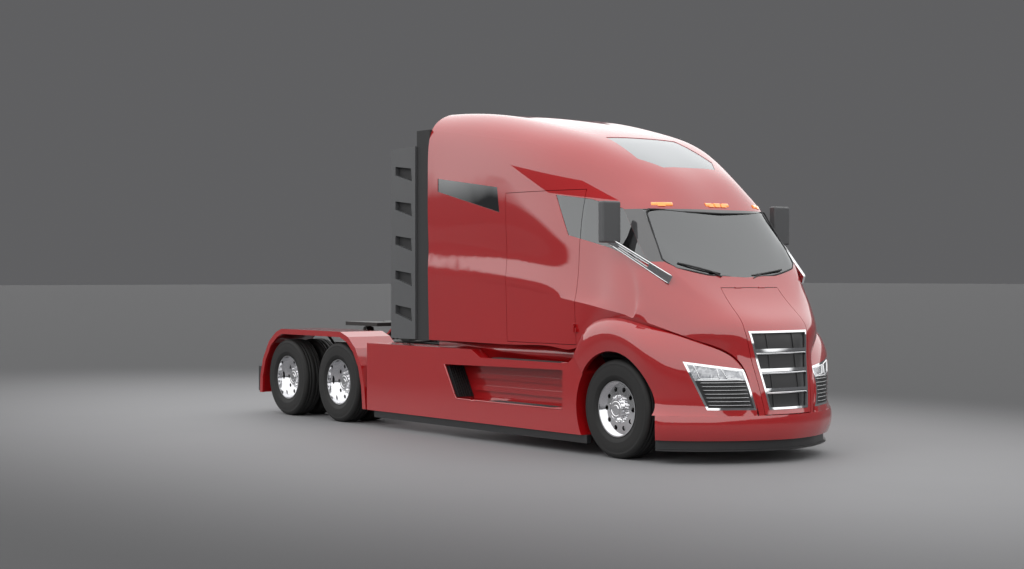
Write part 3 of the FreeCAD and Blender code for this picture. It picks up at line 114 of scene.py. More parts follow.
def object_place(tree):
    """Each point's place in Object coordinates."""
    return put(tree, "ShaderNodeTexCoord").outputs["Object"]


def noise_at(tree, scale, values=None):
    """Soft noise in Object coordinates, with a scale that is a socket or a number."""
    noise = put(tree, "ShaderNodeTexNoise", values)
    tree.links.new(object_place(tree), noise.inputs["Vector"])
    plug(tree, noise.inputs["Scale"], scale)
    return noise.outputs["Fac"]


def new_group(name, inputs, outputs):
    """A shader node group. Each input is (name, kind, default) and each output is (name, kind)."""
    group = bpy.data.node_groups.new(name, "ShaderNodeTree")
    for label, kind, value in inputs:
        socket = group.interface.new_socket(name=label, in_out="INPUT", socket_type=kind)
        socket.default_value = value
    for label, kind in outputs:
        group.interface.new_socket(name=label, in_out="OUTPUT", socket_type=kind)
    return group, group.nodes.new("NodeGroupInput"), group.nodes.new("NodeGroupOutput")


def tint_group():
    """Mixes a colour towards a second one by soft noise times the amount."""
    group, start, end = new_group("surface_tint", [
        ("Colour", "NodeSocketColor", (0.5, 0.5, 0.5, 1)),
        ("Second", "NodeSocketColor", (0.4, 0.4, 0.4, 1)),
        ("Scale", "NodeSocketFloat", 3.0),
        ("Amount", "NodeSocketFloat", 0.5),
    ], [("Colour", "NodeSocketColor"), ("Noise", "NodeSocketFloat")])
    noise = noise_at(group, start.outputs["Scale"], {"Detail": 6, "Roughness": 0.6})
    share = math_node(group, "MULTIPLY", noise, start.outputs["Amount"])
    colour = colour_mix(group, share, start.outputs["Colour"], start.outputs["Second"])
    group.links.new(colour, end.inputs["Colour"])
    group.links.new(noise, end.inputs["Noise"])
    return group


def grain_group():
    """A fine bump from noise, for moulded and cast surfaces."""
    group, start, end = new_group("surface_grain", [
        ("Scale", "NodeSocketFloat", 200.0),
        ("Height", "NodeSocketFloat", 0.0005),
    ], [("Normal", "NodeSocketVector")])
    bump = put(group, "ShaderNodeBump")
    group.links.new(noise_at(group, start.outputs["Scale"], {"Detail": 3}), bump.inputs["Height"])
    group.links.new(start.outputs["Height"], bump.inputs["Distance"])
    group.links.new(bump.outputs["Normal"], end.inputs["Normal"])
    return group


TINT = tint_group()
GRAIN = grain_group()


def group_node(tree, group, **values):
    """One of the groups, placed in a material with its own values."""
    node = tree.nodes.new("ShaderNodeGroup")
    node.node_tree = group
    return fill(node, values)


def darker(colour, share):
    """A colour times a share, with its alpha kept at one."""
    return tuple(share * c for c in colour[:3]) + (1,)


def base_material(name):
    """A new material, its nodes and its Principled BSDF."""
    mat = bpy.data.materials.new(name)
    mat.use_nodes = True
    tree = mat.node_tree
    return mat, tree, tree.nodes["Principled BSDF"]


# Materials
RED = (0.36, 0.003, 0.005, 1)
DEEP_RED = (0.30, 0.002, 0.004, 1)
PILLAR_BLACK = (0.03, 0.03, 0.032, 1)
TRIM_BLACK = (0.014, 0.014, 0.015, 1)
WORN_BLACK = (0.022, 0.022, 0.023, 1)
GLASS_TINT = (0.30, 0.31, 0.32, 1)
GLASS_BODY = (0.010, 0.010, 0.011, 1)
SKYLIGHT_BODY = (0.33, 0.34, 0.35, 1)
TAIL_RED = (0.45, 0.004, 0.006, 1)
TAIL_AMBER = (0.75, 0.22, 0.02, 1)

# The dark band between side glass and windscreen, and the shaded brow over the side glass, whose shade is painted
# by taking its coat away, in (x, z)
PILLAR = [(AXLE_X + 0.330, 2.078), (AXLE_X + 0.900, 2.078), (AXLE_X + 0.900, 2.645),
          (AXLE_X - 0.166, 2.645)]
BROW_SHADE = [(AXLE_X - 1.800, 3.190), (AXLE_X - 1.140, 2.850), (AXLE_X - 0.250, 2.740),
        (AXLE_X - 0.720, 2.970)]

# Tail lamps: each lens from one y to another, their heights and how far in from the rear face
TAIL_LENSES = [(0.72, 0.90, TAIL_RED), (0.92, 1.02, TAIL_AMBER), (1.04, 1.18, TAIL_RED)]
TAIL_LENS_Z = (0.43, 0.56)
TAIL_SKIN = 0.005


def surface_material(name, colour, second, rough, metallic=0.0, scale=3.0, rough_spread=0.08,
                     grain=None, specular=0.5):
    """A finish whose colour and roughness both drift with the same soft noise.

    Roughness goes with the noise from rough - rough_spread to rough + rough_spread. Grain is the
    (scale, height) of a fine bump.
    """
    mat, tree, shader = base_material(name)
    tint = group_node(tree, TINT, Colour=colour, Second=second, Scale=scale, Amount=0.5)
    spread = put(tree, "ShaderNodeMapRange", {
        "To Min": max(rough - rough_spread, 0.02),
        "To Max": rough + rough_spread,
    })
    tree.links.new(tint.outputs["Noise"], spread.inputs["Value"])
    tree.links.new(tint.outputs["Colour"], shader.inputs["Base Color"])
    tree.links.new(spread.outputs["Result"], shader.inputs["Roughness"])
    fill(shader, {"Metallic": metallic, "Specular IOR Level": specular})
    if grain:
        bump = group_node(tree, GRAIN, Scale=grain[0], Height=grain[1])
        tree.links.new(bump.outputs["Normal"], shader.inputs["Normal"])
    return mat


def side_mask(tree, corners):
    """One inside a convex outline drawn on the truck's side in (x, z), given anticlockwise, else zero.

    A point is inside where it lies to the left of every edge.
    """
    place = object_place(tree)
    inside = 1.0
    for (x0, z0), (x1, z1) in zip(corners, corners[1:] + corners[:1]):
        leftward = (z0 - z1, 0, x1 - x0)
        across = put(tree, "ShaderNodeVectorMath", {1: leftward}, operation="DOT_PRODUCT")
        tree.links.new(place, across.inputs[0])
        limit = (z0 - z1) * x0 + (x1 - x0) * z0
        beyond = math_node(tree, "GREATER_THAN", across.outputs["Value"], limit)
        inside = math_node(tree, "MULTIPLY", beyond, inside)
    return inside


def paint_material(name, pillar=None, brow_shade=None):
    """Deep red paint under a clear coat. A pillar outline turns black, and a brow outline loses its coat as
    painted shade of the brow's recess.
    """
    mat, tree, shader = base_material(name)
    tint = group_node(tree, TINT, Colour=RED, Second=DEEP_RED, Scale=1.2, Amount=0.5)
    rough = put(tree, "ShaderNodeMapRange", {"To Min": 0.36, "To Max": 0.50})
    tree.links.new(noise_at(tree, 900), rough.inputs["Value"])
    tree.links.new(rough.outputs["Result"], shader.inputs["Roughness"])
    fill(shader, {"Specular IOR Level": 0.2, "Coat Weight": 1.0, "Coat Roughness": 0.04, "Coat IOR": 1.9})
    colour = tint.outputs["Colour"]
    if pillar:
        colour = colour_mix(tree, side_mask(tree, pillar), colour, PILLAR_BLACK)
    if brow_shade:
        # Painted shade: inside the brow's outline the clear coat is taken away, so it reflects less and looks
        # shaded.
        coat_outside_brow_shade = math_node(tree, "SUBTRACT", 1.0, side_mask(tree, brow_shade))
        tree.links.new(coat_outside_brow_shade, shader.inputs["Coat Weight"])
    tree.links.new(colour, shader.inputs["Base Color"])
    return mat


def glass_material(name, clear, bend, body_colour):
    """Tinted glass: a body that is partly seen through and a mirror, mixed by the angle of view.

    Body = clear * tint seen through + (1 - clear) * body colour.
    """
    mat = bpy.data.materials.new(name)
    mat.use_nodes = True
    tree = mat.node_tree
    tree.nodes.clear()
    link = tree.links.new
    tint = group_node(tree, TINT, Colour=GLASS_TINT, Second=darker(GLASS_TINT, 0.7), Scale=0.8, Amount=0.6)
    through = put(tree, "ShaderNodeBsdfTransparent")
    dark = put(tree, "ShaderNodeBsdfDiffuse", {"Color": body_colour})
    body = put(tree, "ShaderNodeMixShader", {"Fac": clear})
    mirror = put(tree, "ShaderNodeBsdfGlossy", {"Roughness": 0.02, "Color": (0.93, 0.95, 0.96, 1)})
    angle = put(tree, "ShaderNodeFresnel", {"IOR": bend})
    full = put(tree, "ShaderNodeMixShader")
    end = put(tree, "ShaderNodeOutputMaterial")
    link(tint.outputs["Colour"], through.inputs["Color"])
    link(dark.outputs[0], body.inputs[1])
    link(through.outputs[0], body.inputs[2])
    link(angle.outputs[0], full.inputs["Fac"])
    link(body.outputs[0], full.inputs[1])
    link(mirror.outputs[0], full.inputs[2])
    link(full.outputs[0], end.inputs["Surface"])
    return mat


def lens_material(name, colour, glow):
    """A coloured lens with a clear coat and a faint glow of its own."""
    mat, tree, shader = base_material(name)
    tint = group_node(tree, TINT, Colour=colour, Second=darker(colour, 0.6), Scale=40, Amount=0.5)
    tree.links.new(tint.outputs["Colour"], shader.inputs["Base Color"])
    tree.links.new(tint.outputs["Colour"], shader.inputs["Emission Color"])
    fill(shader, {"Emission Strength": glow, "Roughness": 0.12, "Coat Weight": 1.0})
    return mat


def facet_material(name, bright, dim):
    """A lamp's lens over a faceted reflector: small cells of light and darker silver."""
    mat, tree, shader = base_material(name)
    cells = put(tree, "ShaderNodeTexVoronoi", {"Scale": 34})
    tree.links.new(object_place(tree), cells.inputs["Vector"])
    silver = colour_mix(tree, cells.outputs["Color"], bright, dim)
    fine = group_node(tree, GRAIN, Scale=60, Height=0.004)
    tree.links.new(silver, shader.inputs["Base Color"])
    tree.links.new(fine.outputs["Normal"], shader.inputs["Normal"])
    fill(shader, {"Metallic": 0.6, "Roughness": 0.22, "Coat Weight": 1.0})
    return mat


def tail_lamp_material():
    """The dark rear panel, with a red, an amber and a red lens drawn on its rear face.

    A lens is glossier than the panel: roughness = 0.5 less 0.4 inside a lens.
    """
    mat, tree, shader = base_material("tail_panel")
    tint = group_node(tree, TINT, Colour=TRIM_BLACK, Second=WORN_BLACK, Scale=6.0, Amount=0.5)
    split = put(tree, "ShaderNodeSeparateXYZ")
    tree.links.new(object_place(tree), split.inputs["Vector"])
    side = math_node(tree, "ABSOLUTE", split.outputs["Y"])
    behind = math_node(tree, "LESS_THAN", split.outputs["X"], TAIL_X + TAIL_SKIN)
    level = math_node(tree, "MULTIPLY", within(tree, split.outputs["Z"], *TAIL_LENS_Z), behind)
    colour = tint.outputs["Colour"]
    rough = 0.5
    for start, end, shade in TAIL_LENSES:
        inside = math_node(tree, "MULTIPLY", within(tree, side, start, end), level)
        colour = colour_mix(tree, inside, colour, shade)
        rough = math_node(tree, "SUBTRACT", rough, math_node(tree, "MULTIPLY", inside, 0.4))
    tree.links.new(colour, shader.inputs["Base Color"])
    tree.links.new(rough, shader.inputs["Roughness"])
    return mat


MATS = {
    "red_paint": paint_material("red_paint"),
    "grey_panel": surface_material("grey_panel", (0.085, 0.087, 0.09, 1), (0.06, 0.06, 0.063, 1), 0.42,
                                   scale=2.0, grain=(350, 0.0002)),
    "black_trim": surface_material("black_trim", TRIM_BLACK, WORN_BLACK, 0.42, scale=6.0,
                                   grain=(420, 0.0002)),
    "chassis_steel": surface_material("chassis_steel", (0.018, 0.018, 0.019, 1), (0.035, 0.033, 0.03, 1),
                                      0.48, metallic=0.3, scale=9.0, grain=(160, 0.0006)),
    "chrome": surface_material("chrome", (0.88, 0.89, 0.90, 1), (0.78, 0.79, 0.81, 1), 0.05,
                               metallic=1.0, rough_spread=0.03),
    "polished_alloy": surface_material("polished_alloy", (0.88, 0.88, 0.89, 1), (0.76, 0.76, 0.78, 1),
                                       0.09, metallic=1.0, scale=12.0, rough_spread=0.04),
    "tyre": surface_material("tyre", (0.012, 0.012, 0.012, 1), (0.022, 0.021, 0.020, 1), 0.62,
                             scale=8.0, grain=(260, 0.0006), specular=0.35),
    "tinted_glass": glass_material("tinted_glass", 0.55, 2.3, GLASS_BODY),
    "lamp_glass": facet_material("lamp_glass", (0.62, 0.63, 0.65, 1), (0.20, 0.21, 0.23, 1)),
    "amber_lens": lens_material("amber_lens", (1.0, 0.30, 0.05, 1), 0.5),
    "rubber_seal": surface_material("rubber_seal", (0.02, 0.02, 0.021, 1), (0.032, 0.032, 0.033, 1), 0.7,
                                    scale=5.0, grain=(300, 0.0005)),
    "cab_trim": surface_material("cab_trim", (0.035, 0.035, 0.038, 1), (0.055, 0.053, 0.052, 1), 0.6,
                                 scale=7.0, grain=(300, 0.0004)),
    "seat_cloth": surface_material("seat_cloth", (0.04, 0.04, 0.045, 1), (0.07, 0.068, 0.066, 1), 0.85,
                                   scale=30.0, grain=(700, 0.0008)),
}
CAB_SKINS = ("cab_sides", "cab_roof", "cab_cowl", "door_left", "door_right")


def dress(obj, material):
    """Gives an object one material in place of what it had."""
    obj.data.materials.clear()
    obj.data.materials.append(material)


def dress_nodes():
    """Each node takes its slot's material. Cab skins, skylight and rear panels take their own."""
    for entry in frame["record"]["subparts"]:
        dress(NODES[entry["node"]], MATS[entry["material_slot"]])
    cab_paint = paint_material("cab_paint", PILLAR, BROW_SHADE)
    for name in CAB_SKINS:
        dress(NODES[name], cab_paint)
    dress(NODES["skylight"], glass_material("roof_glass", 0.2, 2.0, SKYLIGHT_BODY))
    dress(NODES["rear_panels"], tail_lamp_material())


# Mesh helpers. A shape is an array of points, an array of quads and a list of flat caps.
def grid_quads(rows, cols, wrap_rows=False, wrap_cols=False):
    """The quads of a grid of rows x cols points, wrapped round where asked."""
    r = np.arange(rows if wrap_rows else rows - 1)
    c = np.arange(cols if wrap_cols else cols - 1)
    rr, cc = np.meshgrid(r, c, indexing="ij")
    rn, cn = (rr + 1) % rows, (cc + 1) % cols
    return np.stack([rr * cols + cc, rr * cols + cn, rn * cols + cn, rn * cols + cc], -1).reshape(-1, 4)


def joined(shapes):
    """Several shapes as one, with the numbers of their points moved on."""
    verts, quads, caps, count = [], [], [], 0
    for v, q, c in shapes:
        verts.append(v)
        quads.append(q + count)
        caps += [np.asarray(cap) + count for cap in c]
        count += len(v)
    return np.concatenate(verts), np.concatenate(quads), caps


def piece(name, shapes, slot_name, body, smooth=True):
    """One object at the origin from closed shapes, with its faces turned outwards and its caps flat."""
    verts, quads, caps = joined(shapes)
    mesh = bpy.data.meshes.new(name)
    sizes = np.concatenate([np.full(len(quads), 4), [len(c) for c in caps]]).astype(np.int32)
    corners = np.concatenate([quads.ravel()] + caps).astype(np.int32)
    starts = np.concatenate([[0], np.cumsum(sizes)[:-1]]).astype(np.int32)
    mesh.vertices.add(len(verts))
    mesh.vertices.foreach_set("co", np.ascontiguousarray(verts, np.float32).ravel())
    mesh.loops.add(len(corners))
    mesh.loops.foreach_set("vertex_index", corners)
    mesh.polygons.add(len(sizes))
    mesh.polygons.foreach_set("loop_start", starts)
    mesh.update(calc_edges=True)
    mesh.validate()
    turned = bmesh.new()
    turned.from_mesh(mesh)
    bmesh.ops.recalc_face_normals(turned, faces=turned.faces)
    turned.to_mesh(mesh)
    turned.free()
    if smooth:
        flags = np.ones(len(mesh.polygons), bool)
        flags[len(quads):] = False
        mesh.polygons.foreach_set("use_smooth", flags)
    obj = bpy.data.objects.new(name, mesh)
    bpy.context.scene.collection.objects.link(obj)
    obj.data.materials.append(MATS[slot_name])
    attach(obj, body)
    return obj


def lathe(profile, centre, outward, segments):
    """Turns closed (along, r) points about a wheel's axis.

    Point = centre + along * axis + r * (u * cos t + w * sin t), where u is level and w upright, and
    both are square to the axis.
    """
    profile = np.asarray(profile, float)
    axis = np.array((0, outward, 0), float)
    u = np.cross(axis, (0, 0, 1.0))
    w = np.cross(axis, u)
    t = np.linspace(0, 2 * math.pi, segments, endpoint=False)
    spoke = np.outer(np.cos(t), u) + np.outer(np.sin(t), w)
    along, r = profile[:, 0], profile[:, 1]
    verts = np.asarray(centre, float) + spoke[:, None] * r[None, :, None] + along[None, :, None] * axis
    return verts.reshape(-1, 3), grid_quads(segments, len(profile), True, True), []


def stud(profile, centre, outward, segments):
    """Turns open (along, r) points as lathe does and closes both ends with flat caps."""
    verts, _, _ = lathe(profile, centre, outward, segments)
    cols = len(profile)
    first = np.arange(segments) * cols
    return verts, grid_quads(segments, cols, True, False), [first, first + cols - 1]


def round_profile(radius, sides=8):
    """A circle's (a, b) points."""
    t = np.linspace(0, 2 * math.pi, sides, endpoint=False)
    return np.stack([radius * np.cos(t), radius * np.sin(t)], -1)


def flat_profile(width, height):
    """A rectangle's (a, b) corners."""
    w, h = width / 2, height / 2
    return np.array([(-w, -h), (w, -h), (w, h), (-w, h)])


def sweep(path, profile, up=(0, 0, 1), closed=False):
    """Carries a closed (a, b) profile along a path: point = path + a * side + b * rise.

    Side is square to the path and to up, and rise is square to the path and to side.
    """
    path = np.asarray(path, float)
    if closed:
        along = np.roll(path, -1, 0) - np.roll(path, 1, 0)
    else:
        along = np.gradient(path, axis=0)
    along /= np.linalg.norm(along, axis=1)[:, None]
    side = np.cross(along, np.broadcast_to(np.asarray(up, float), along.shape))
    side /= np.linalg.norm(side, axis=1)[:, None]
    rise = np.cross(side, along)
    profile = np.asarray(profile, float)
    verts = path[:, None] + side[:, None] * profile[None, :, :1] + rise[:, None] * profile[None, :, 1:]
    rows, cols = len(path), len(profile)
    last = (rows - 1) * cols
    caps = [] if closed else [np.arange(cols), np.arange(last, last + cols)]
    return verts.reshape(-1, 3), grid_quads(rows, cols, closed, True), caps


def prism(outline, y0, y1):
    """An (x, z) outline carried across from y0 to y1."""
    flat = np.asarray(outline, float)
    ends = [np.insert(flat, 1, y, axis=1) for y in (y0, y1)]
    cols = len(flat)
    caps = [np.arange(cols), np.arange(cols, 2 * cols)]
    return np.concatenate(ends), grid_quads(2, cols, False, True), caps


def block(x, y, z):
    """A block between two places along each axis."""
    return prism([(x[0], z[0]), (x[1], z[0]), (x[1], z[1]), (x[0], z[1])], y[0], y[1])


def mirrored(shape):
    """A shape with y turned to minus y."""
    return shape[0] * (1, -1, 1), shape[1], shape[2]


def both_sides(shapes):
    """The left side's shapes and their mirror images."""
    return shapes + [mirrored(s) for s in shapes]


def bent(points, steps=9):
    """A path with its inner corners rounded: a quadratic curve between the middles of its legs."""
    points = np.asarray(points, float)
    t = np.linspace(0, 1, steps)[:, None]
    middles = (points[1:] + points[:-1]) / 2
    rows = [points[:1]]
    for a, b, c in zip(middles[:-1], points[1:-1], middles[1:]):
        rows.append((1 - t) ** 2 * a + 2 * t * (1 - t) * b + t ** 2 * c)
    rows.append(points[-1:])
    return np.concatenate(rows)


def evenly(points, step):
    """Evenly spaced points along a polyline in (y, z), as their y and their z."""
    points = np.asarray(points, float)
    run = np.concatenate([[0], np.cumsum(np.linalg.norm(np.diff(points, axis=0), axis=1))])
    at = np.linspace(0, run[-1], int(run[-1] / step) + 1)
    return np.interp(at, run, points[:, 0]), np.interp(at, run, points[:, 1])


def straight(start, end, steps):
    """Evenly spaced points from one (y, z) to another, as their y and their z."""
    t = np.linspace(0, 1, steps)
    return start[0] + t * (end[0] - start[0]), start[1] + t * (end[1] - start[1])


def y_on(edge, z):
    """The y at which a straight line through two (y, z) corners passes a height."""
    (y0, z0), (y1, z1) = edge
    return y0 + (z - z0) * (y1 - y0) / (z1 - z0)


def z_on(edge, y):
    """The height at which a straight line through two (y, z) corners passes a y."""
    (y0, z0), (y1, z1) = edge
    return z0 + (y - y0) * (z1 - z0) / (y1 - y0)


# Skins: a CAD node's curved front face as x(y, z), so that thin pieces can lie on it
def skin_terms(y, z, even):
    """The polynomial's terms: even powers of y for a face across the middle, else up to squares."""
    one = np.ones_like(y)
    if even:
        return np.stack([one, y ** 2, z, z * y ** 2, z ** 2, y ** 4], -1)
    return np.stack([one, y, z, y * z, y ** 2, z ** 2], -1)


def skin_fit(name, keep=None, even=True):
    """Least squares through a node's forward faces: x as a polynomial of y and z. Returns x(y, z).

    A face looks forward where its normal's x is over 0.3. Each counts by its area.
    """
    mesh = NODES[name].data
    count = len(mesh.polygons)
    centre, normal, area = np.empty(count * 3), np.empty(count * 3), np.empty(count)
    mesh.polygons.foreach_get("center", centre)
    mesh.polygons.foreach_get("normal", normal)
    mesh.polygons.foreach_get("area", area)
    centre, normal = centre.reshape(-1, 3), normal.reshape(-1, 3)
    chosen = normal[:, 0] > 0.3
    if keep is not None:
        chosen &= keep(centre)
    x, y, z = centre[chosen].T
    weight = np.sqrt(area[chosen])[:, None]
    middle = z.mean()
    terms = np.linalg.lstsq(skin_terms(y, z - middle, even) * weight, x * weight[:, 0], rcond=None)[0]
    return lambda py, pz: skin_terms(np.asarray(py, float), np.asarray(pz, float) - middle, even) @ terms


def on_skin(fit, y, z, proud=0.0):
    """Points on a fitted skin, moved forward by proud."""
    y, z = np.broadcast_arrays(np.asarray(y, float), np.asarray(z, float))
    return np.stack([fit(y, z) + proud, y, z], -1)


def left_half(centre):
    """Where faces lie on the truck's left."""
    return centre[:, 1] > 0


# Wheels: grooved tyres in place of the plain ones, and nuts and hub rings on the rims
RIM_RADIUS = 0.298
SHOULDER_GROOVE = 0.012
CENTRE_GROOVE = 0.013
TYRE_SEGMENTS = 128
NUTS = 10
NUT_CIRCLE = 0.1325
NUT_SINK = 0.054
FRONT_HUB_FACE = 1.226
DRIVE_HUB_FACE = 1.136
WASHER = [(-0.004, 0.019), (0.004, 0.019)]
NUT = [(0.003, 0.016), (0.024, 0.016), (0.030, 0.011)]
HUB_RING = [(-0.006, 0.086), (0.003, 0.084), (0.003, 0.070), (-0.006, 0.068)]
HUB_BOSS = [(-0.006, 0.045), (0.002, 0.045), (0.006, 0.038)]


def tyre_profile(face_y, outward):
    """A closed section: bulged walls, a rounded shoulder and four grooves round the tread.

    Points are (share of the width, radius) for the outer half, and the inner half is its mirror image.
    """
    edge = TYRE_RADIUS
    wall = [(0.12, RIM_RADIUS + 0.001), (0.06, RIM_RADIUS + 0.02), (0.02, RIM_RADIUS + 0.045),
            (0.012, 0.350), (0.006, 0.354), (0.006, 0.36), (0.0, 0.40), (0.0, 0.425), (0.008, 0.455),
            (0.016, 0.470), (0.010, 0.474), (0.03, 0.488), (0.055, 0.505), (0.10, 0.517), (0.16, 0.5225)]
    tread = [(0.22, edge - 0.001), (0.225, edge - SHOULDER_GROOVE), (0.245, edge - SHOULDER_GROOVE),
             (0.25, edge), (0.36, edge), (0.365, edge - CENTRE_GROOVE), (0.39, edge - CENTRE_GROOVE),
             (0.395, edge), (0.5, edge)]
    half = wall + tread
    ring = half + [(1 - share, r) for share, r in half[-2::-1]]
    return [(face_y - outward * share * TYRE_WIDTH, r) for share, r in ring]


def tyre_piece(name, ahead, faces, body, node):
    """One or two tyres on an axle, each from its outer face's y and the side that the face looks to."""
    middle = (AXLE_X + ahead, 0, TYRE_RADIUS)
    shapes = [lathe(tyre_profile(face_y, outward), middle, 1, TYRE_SEGMENTS) for face_y, outward in faces]
    obj = piece(name, shapes, "tyre", body)
    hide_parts(node)


def wheel_nuts(name, ahead, hub_face, outward, body):
    """Nuts with washers in a circle, a ring round the hub's cap and a round boss in its middle."""
    shapes = []
    for number in range(NUTS):
        t = 2 * math.pi * (number + 0.5) / NUTS
        centre = (AXLE_X + ahead + NUT_CIRCLE * math.cos(t), outward * (hub_face - NUT_SINK),
                  TYRE_RADIUS + NUT_CIRCLE * math.sin(t))
        shapes.append(stud(WASHER, centre, outward, 16))
        shapes.append(stud(NUT, centre, outward, 6))
    middle = (AXLE_X + ahead, outward * hub_face, TYRE_RADIUS)
    shapes.append(lathe(HUB_RING, middle, outward, 48))
    shapes.append(stud(HUB_BOSS, middle, outward, 32))
    piece(name, shapes, "polished_alloy", body)


def front_wheel(side, outward):
    """One tyre, and the nuts on its rim."""
    body = "front_wheel_" + side
    tyre_piece("front_tread_" + side, 0, [(outward * TYRE_FACE, outward)], body, "front_tyre_" + side)
    wheel_nuts("front_nuts_" + side, 0, FRONT_HUB_FACE, outward, body)


def drive_wheel(number, ahead, side, outward):
    """Twin tyres, whose outer faces look away from each other, and the nuts on the outer rim."""
    label = "%d_%s" % (number, side)
    body = "drive_wheel_" + label
    faces = [(outward * TYRE_FACE, outward), (outward * TWIN_FACE, -outward)]
    tyre_piece("drive_tread_" + label, ahead, faces, body, "drive_tyres_" + label)
    wheel_nuts("drive_nuts_" + label, ahead, DRIVE_HUB_FACE, outward, body)


def wheels():
    """The wheels of the left side and then of the right."""
    for side, outward in (("left", 1), ("right", -1)):
        front_wheel(side, outward)
        for number, ahead in enumerate(DRIVE_AHEAD, 1):
            drive_wheel(number, ahead, side, outward)


# Grille: a thinner second band under each bar, and a fine mesh in front of the dark back
GRILLE_BARS = (1.160, 0.958, 0.757)
GRILLE_EDGE = ((0.283, GRILLE_LOW.z), (GRILLE_HIGH.y, GRILLE_HIGH.z))
GRILLE_RIM = 0.022
BAND_DROP = 0.031
BAND_SINK = 0.014
BAND_SECTION = (0.012, 0.017)
MESH_PITCH = 0.027
MESH_SIDE_WIRES = 14
MESH_LOW, MESH_HIGH = 0.580, 1.337
MESH_LEVELS = np.arange(0.594, 1.33, MESH_PITCH)
MESH_SIDE_GAP = 0.026
UPRIGHT_SINK, UPRIGHT_SECTION = 0.046, (0.004, 0.010)
LEVEL_SINK, LEVEL_SECTION = 0.048, (0.006, 0.003)


def grille_level(skin, z, sink, section, steps):
    """A level strip from one side of the grille's opening to the other, sunk behind its front."""
    half = y_on(GRILLE_EDGE, z) - GRILLE_RIM
    return sweep(on_skin(skin, np.linspace(-half, half, steps), z, -sink), flat_profile(*section))


def grille_bands(skin):
    """One level strip under each of the grille's bars."""
    bands = [grille_level(skin, z - BAND_DROP, BAND_SINK, BAND_SECTION, 33) for z in GRILLE_BARS]
    piece("grille_bands", bands, "chrome", "hatch")


def grille_mesh(skin):
    """Upright wires, which end above the grille's slanted side, and level wires."""
    wires = []
    for y in np.arange(-MESH_SIDE_WIRES, MESH_SIDE_WIRES + 1) * MESH_PITCH:
        low = max(MESH_LOW, z_on(GRILLE_EDGE, abs(y) + MESH_SIDE_GAP))
        path = on_skin(skin, y, np.linspace(low, MESH_HIGH, 13), -UPRIGHT_SINK)
        wires.append(sweep(path, flat_profile(*UPRIGHT_SECTION), (1, 0, 0)))
    wires += [grille_level(skin, z, LEVEL_SINK, LEVEL_SECTION, 25) for z in MESH_LEVELS]
    piece("grille_mesh", wires, "black_trim", "hatch")


# Headlamps: bright edged blades over the louvre block, and a bezel round two lens cells, in (y, z)
LAMP_INNER = ((0.429, 0.556), (0.523, 0.971))
LAMP_OUTER = ((0.891, 0.561), (1.036, 1.056))
LAMP_TOP = ((0.523, 0.971), (1.036, 1.056))
LAMP_PROUD = 0.001
BLADE_HEIGHTS = np.linspace(0.604, 0.834, 7)
BLADE_INSET = 0.030
BLADE_PROUD = 0.002
BLADE_SECTION = (0.016, 0.012)
BLADE_EDGE = (0.010, 0, 0.006)
BLADE_EDGE_RADIUS = 0.0022
CELLS = ((0.548, 0.745), (0.775, 0.985))
CELL_LIFT = 0.020
CELL_DROP = 0.030
CELL_SLANTS = (0.010, 0.045)
BEZEL_RADIUS = 0.005
SPLIT_INSET = 0.022
SPLIT_LIFT = 0.006
SPLIT_SECTION = (0.008, 0.012)


def lamp_span(z, inset):
    """Evenly spaced y from the lamp's inner edge to its outer one at a height, inset at both ends."""
    return np.linspace(y_on(LAMP_INNER, z) + inset, y_on(LAMP_OUTER, z) - inset, 17)


def blade_paths():
    """The middle line of each blade on the louvre block's face."""
    skin = skin_fit("lamp_louvres", left_half, False)
    return [on_skin(skin, lamp_span(z, BLADE_INSET), z) for z in BLADE_HEIGHTS]


def lamp_blades():
    """Flat strips along the blades' middle lines."""
    blades = [sweep(path + (BLADE_PROUD, 0, 0), flat_profile(*BLADE_SECTION)) for path in blade_paths()]
    piece("lamp_blades", both_sides(blades), "black_trim", "chassis")


def cell_bezel(skin, start, end):
    """Round beads along the four edges of one lens cell, whose upright edges slant."""
    low = LAMP_SPLIT + CELL_LIFT
    corners = [(start, low), (end - CELL_SLANTS[1], low), (end, z_on(LAMP_TOP, end) - CELL_DROP),
               (start + CELL_SLANTS[0], z_on(LAMP_TOP, start) - CELL_DROP)]
    return [sweep(on_skin(skin, *straight(a, b, 9), LAMP_PROUD), round_profile(BEZEL_RADIUS), (0.8, 0.6, 0))
            for a, b in zip(corners, corners[1:] + corners[:1])]


def lamp_edges():
    """The blades' bright edges, the cells' bezels and the band between lens and louvres."""
    skin = skin_fit("headlamps", left_half, False)
    edges = [sweep(path + BLADE_EDGE, round_profile(BLADE_EDGE_RADIUS, 6)) for path in blade_paths()]
    for start, end in CELLS:
        edges += cell_bezel(skin, start, end)
    band = on_skin(skin, lamp_span(LAMP_SPLIT, SPLIT_INSET), LAMP_SPLIT + SPLIT_LIFT, LAMP_PROUD)
    edges.append(sweep(band, flat_profile(*SPLIT_SECTION)))
    piece("lamp_edges", both_sides(edges), "chrome", "chassis")


# Marker lamps: wider lens caps over the five lamps on the roof's front edge
MARKER_SPANS = ((-0.045, 0.045), (0.080, 0.170), (-0.170, -0.080), (0.60, 0.80), (-0.80, -0.60))
MARKER_SECTION = [(-0.006, -0.024), (0.006, -0.020), (0.008, 0.0), (0.006, 0.020), (-0.006, 0.024)]
MARKER_Z = 2.697
MARKER_PROUD = 0.001
LEAN_HEIGHTS = (2.68, 2.72)


def roof_edge(centre):
    """Where the roof's faces lie low on its front, and not round its corners."""
    return (centre[:, 2] < 2.80) & (abs(centre[:, 1]) < 0.95)


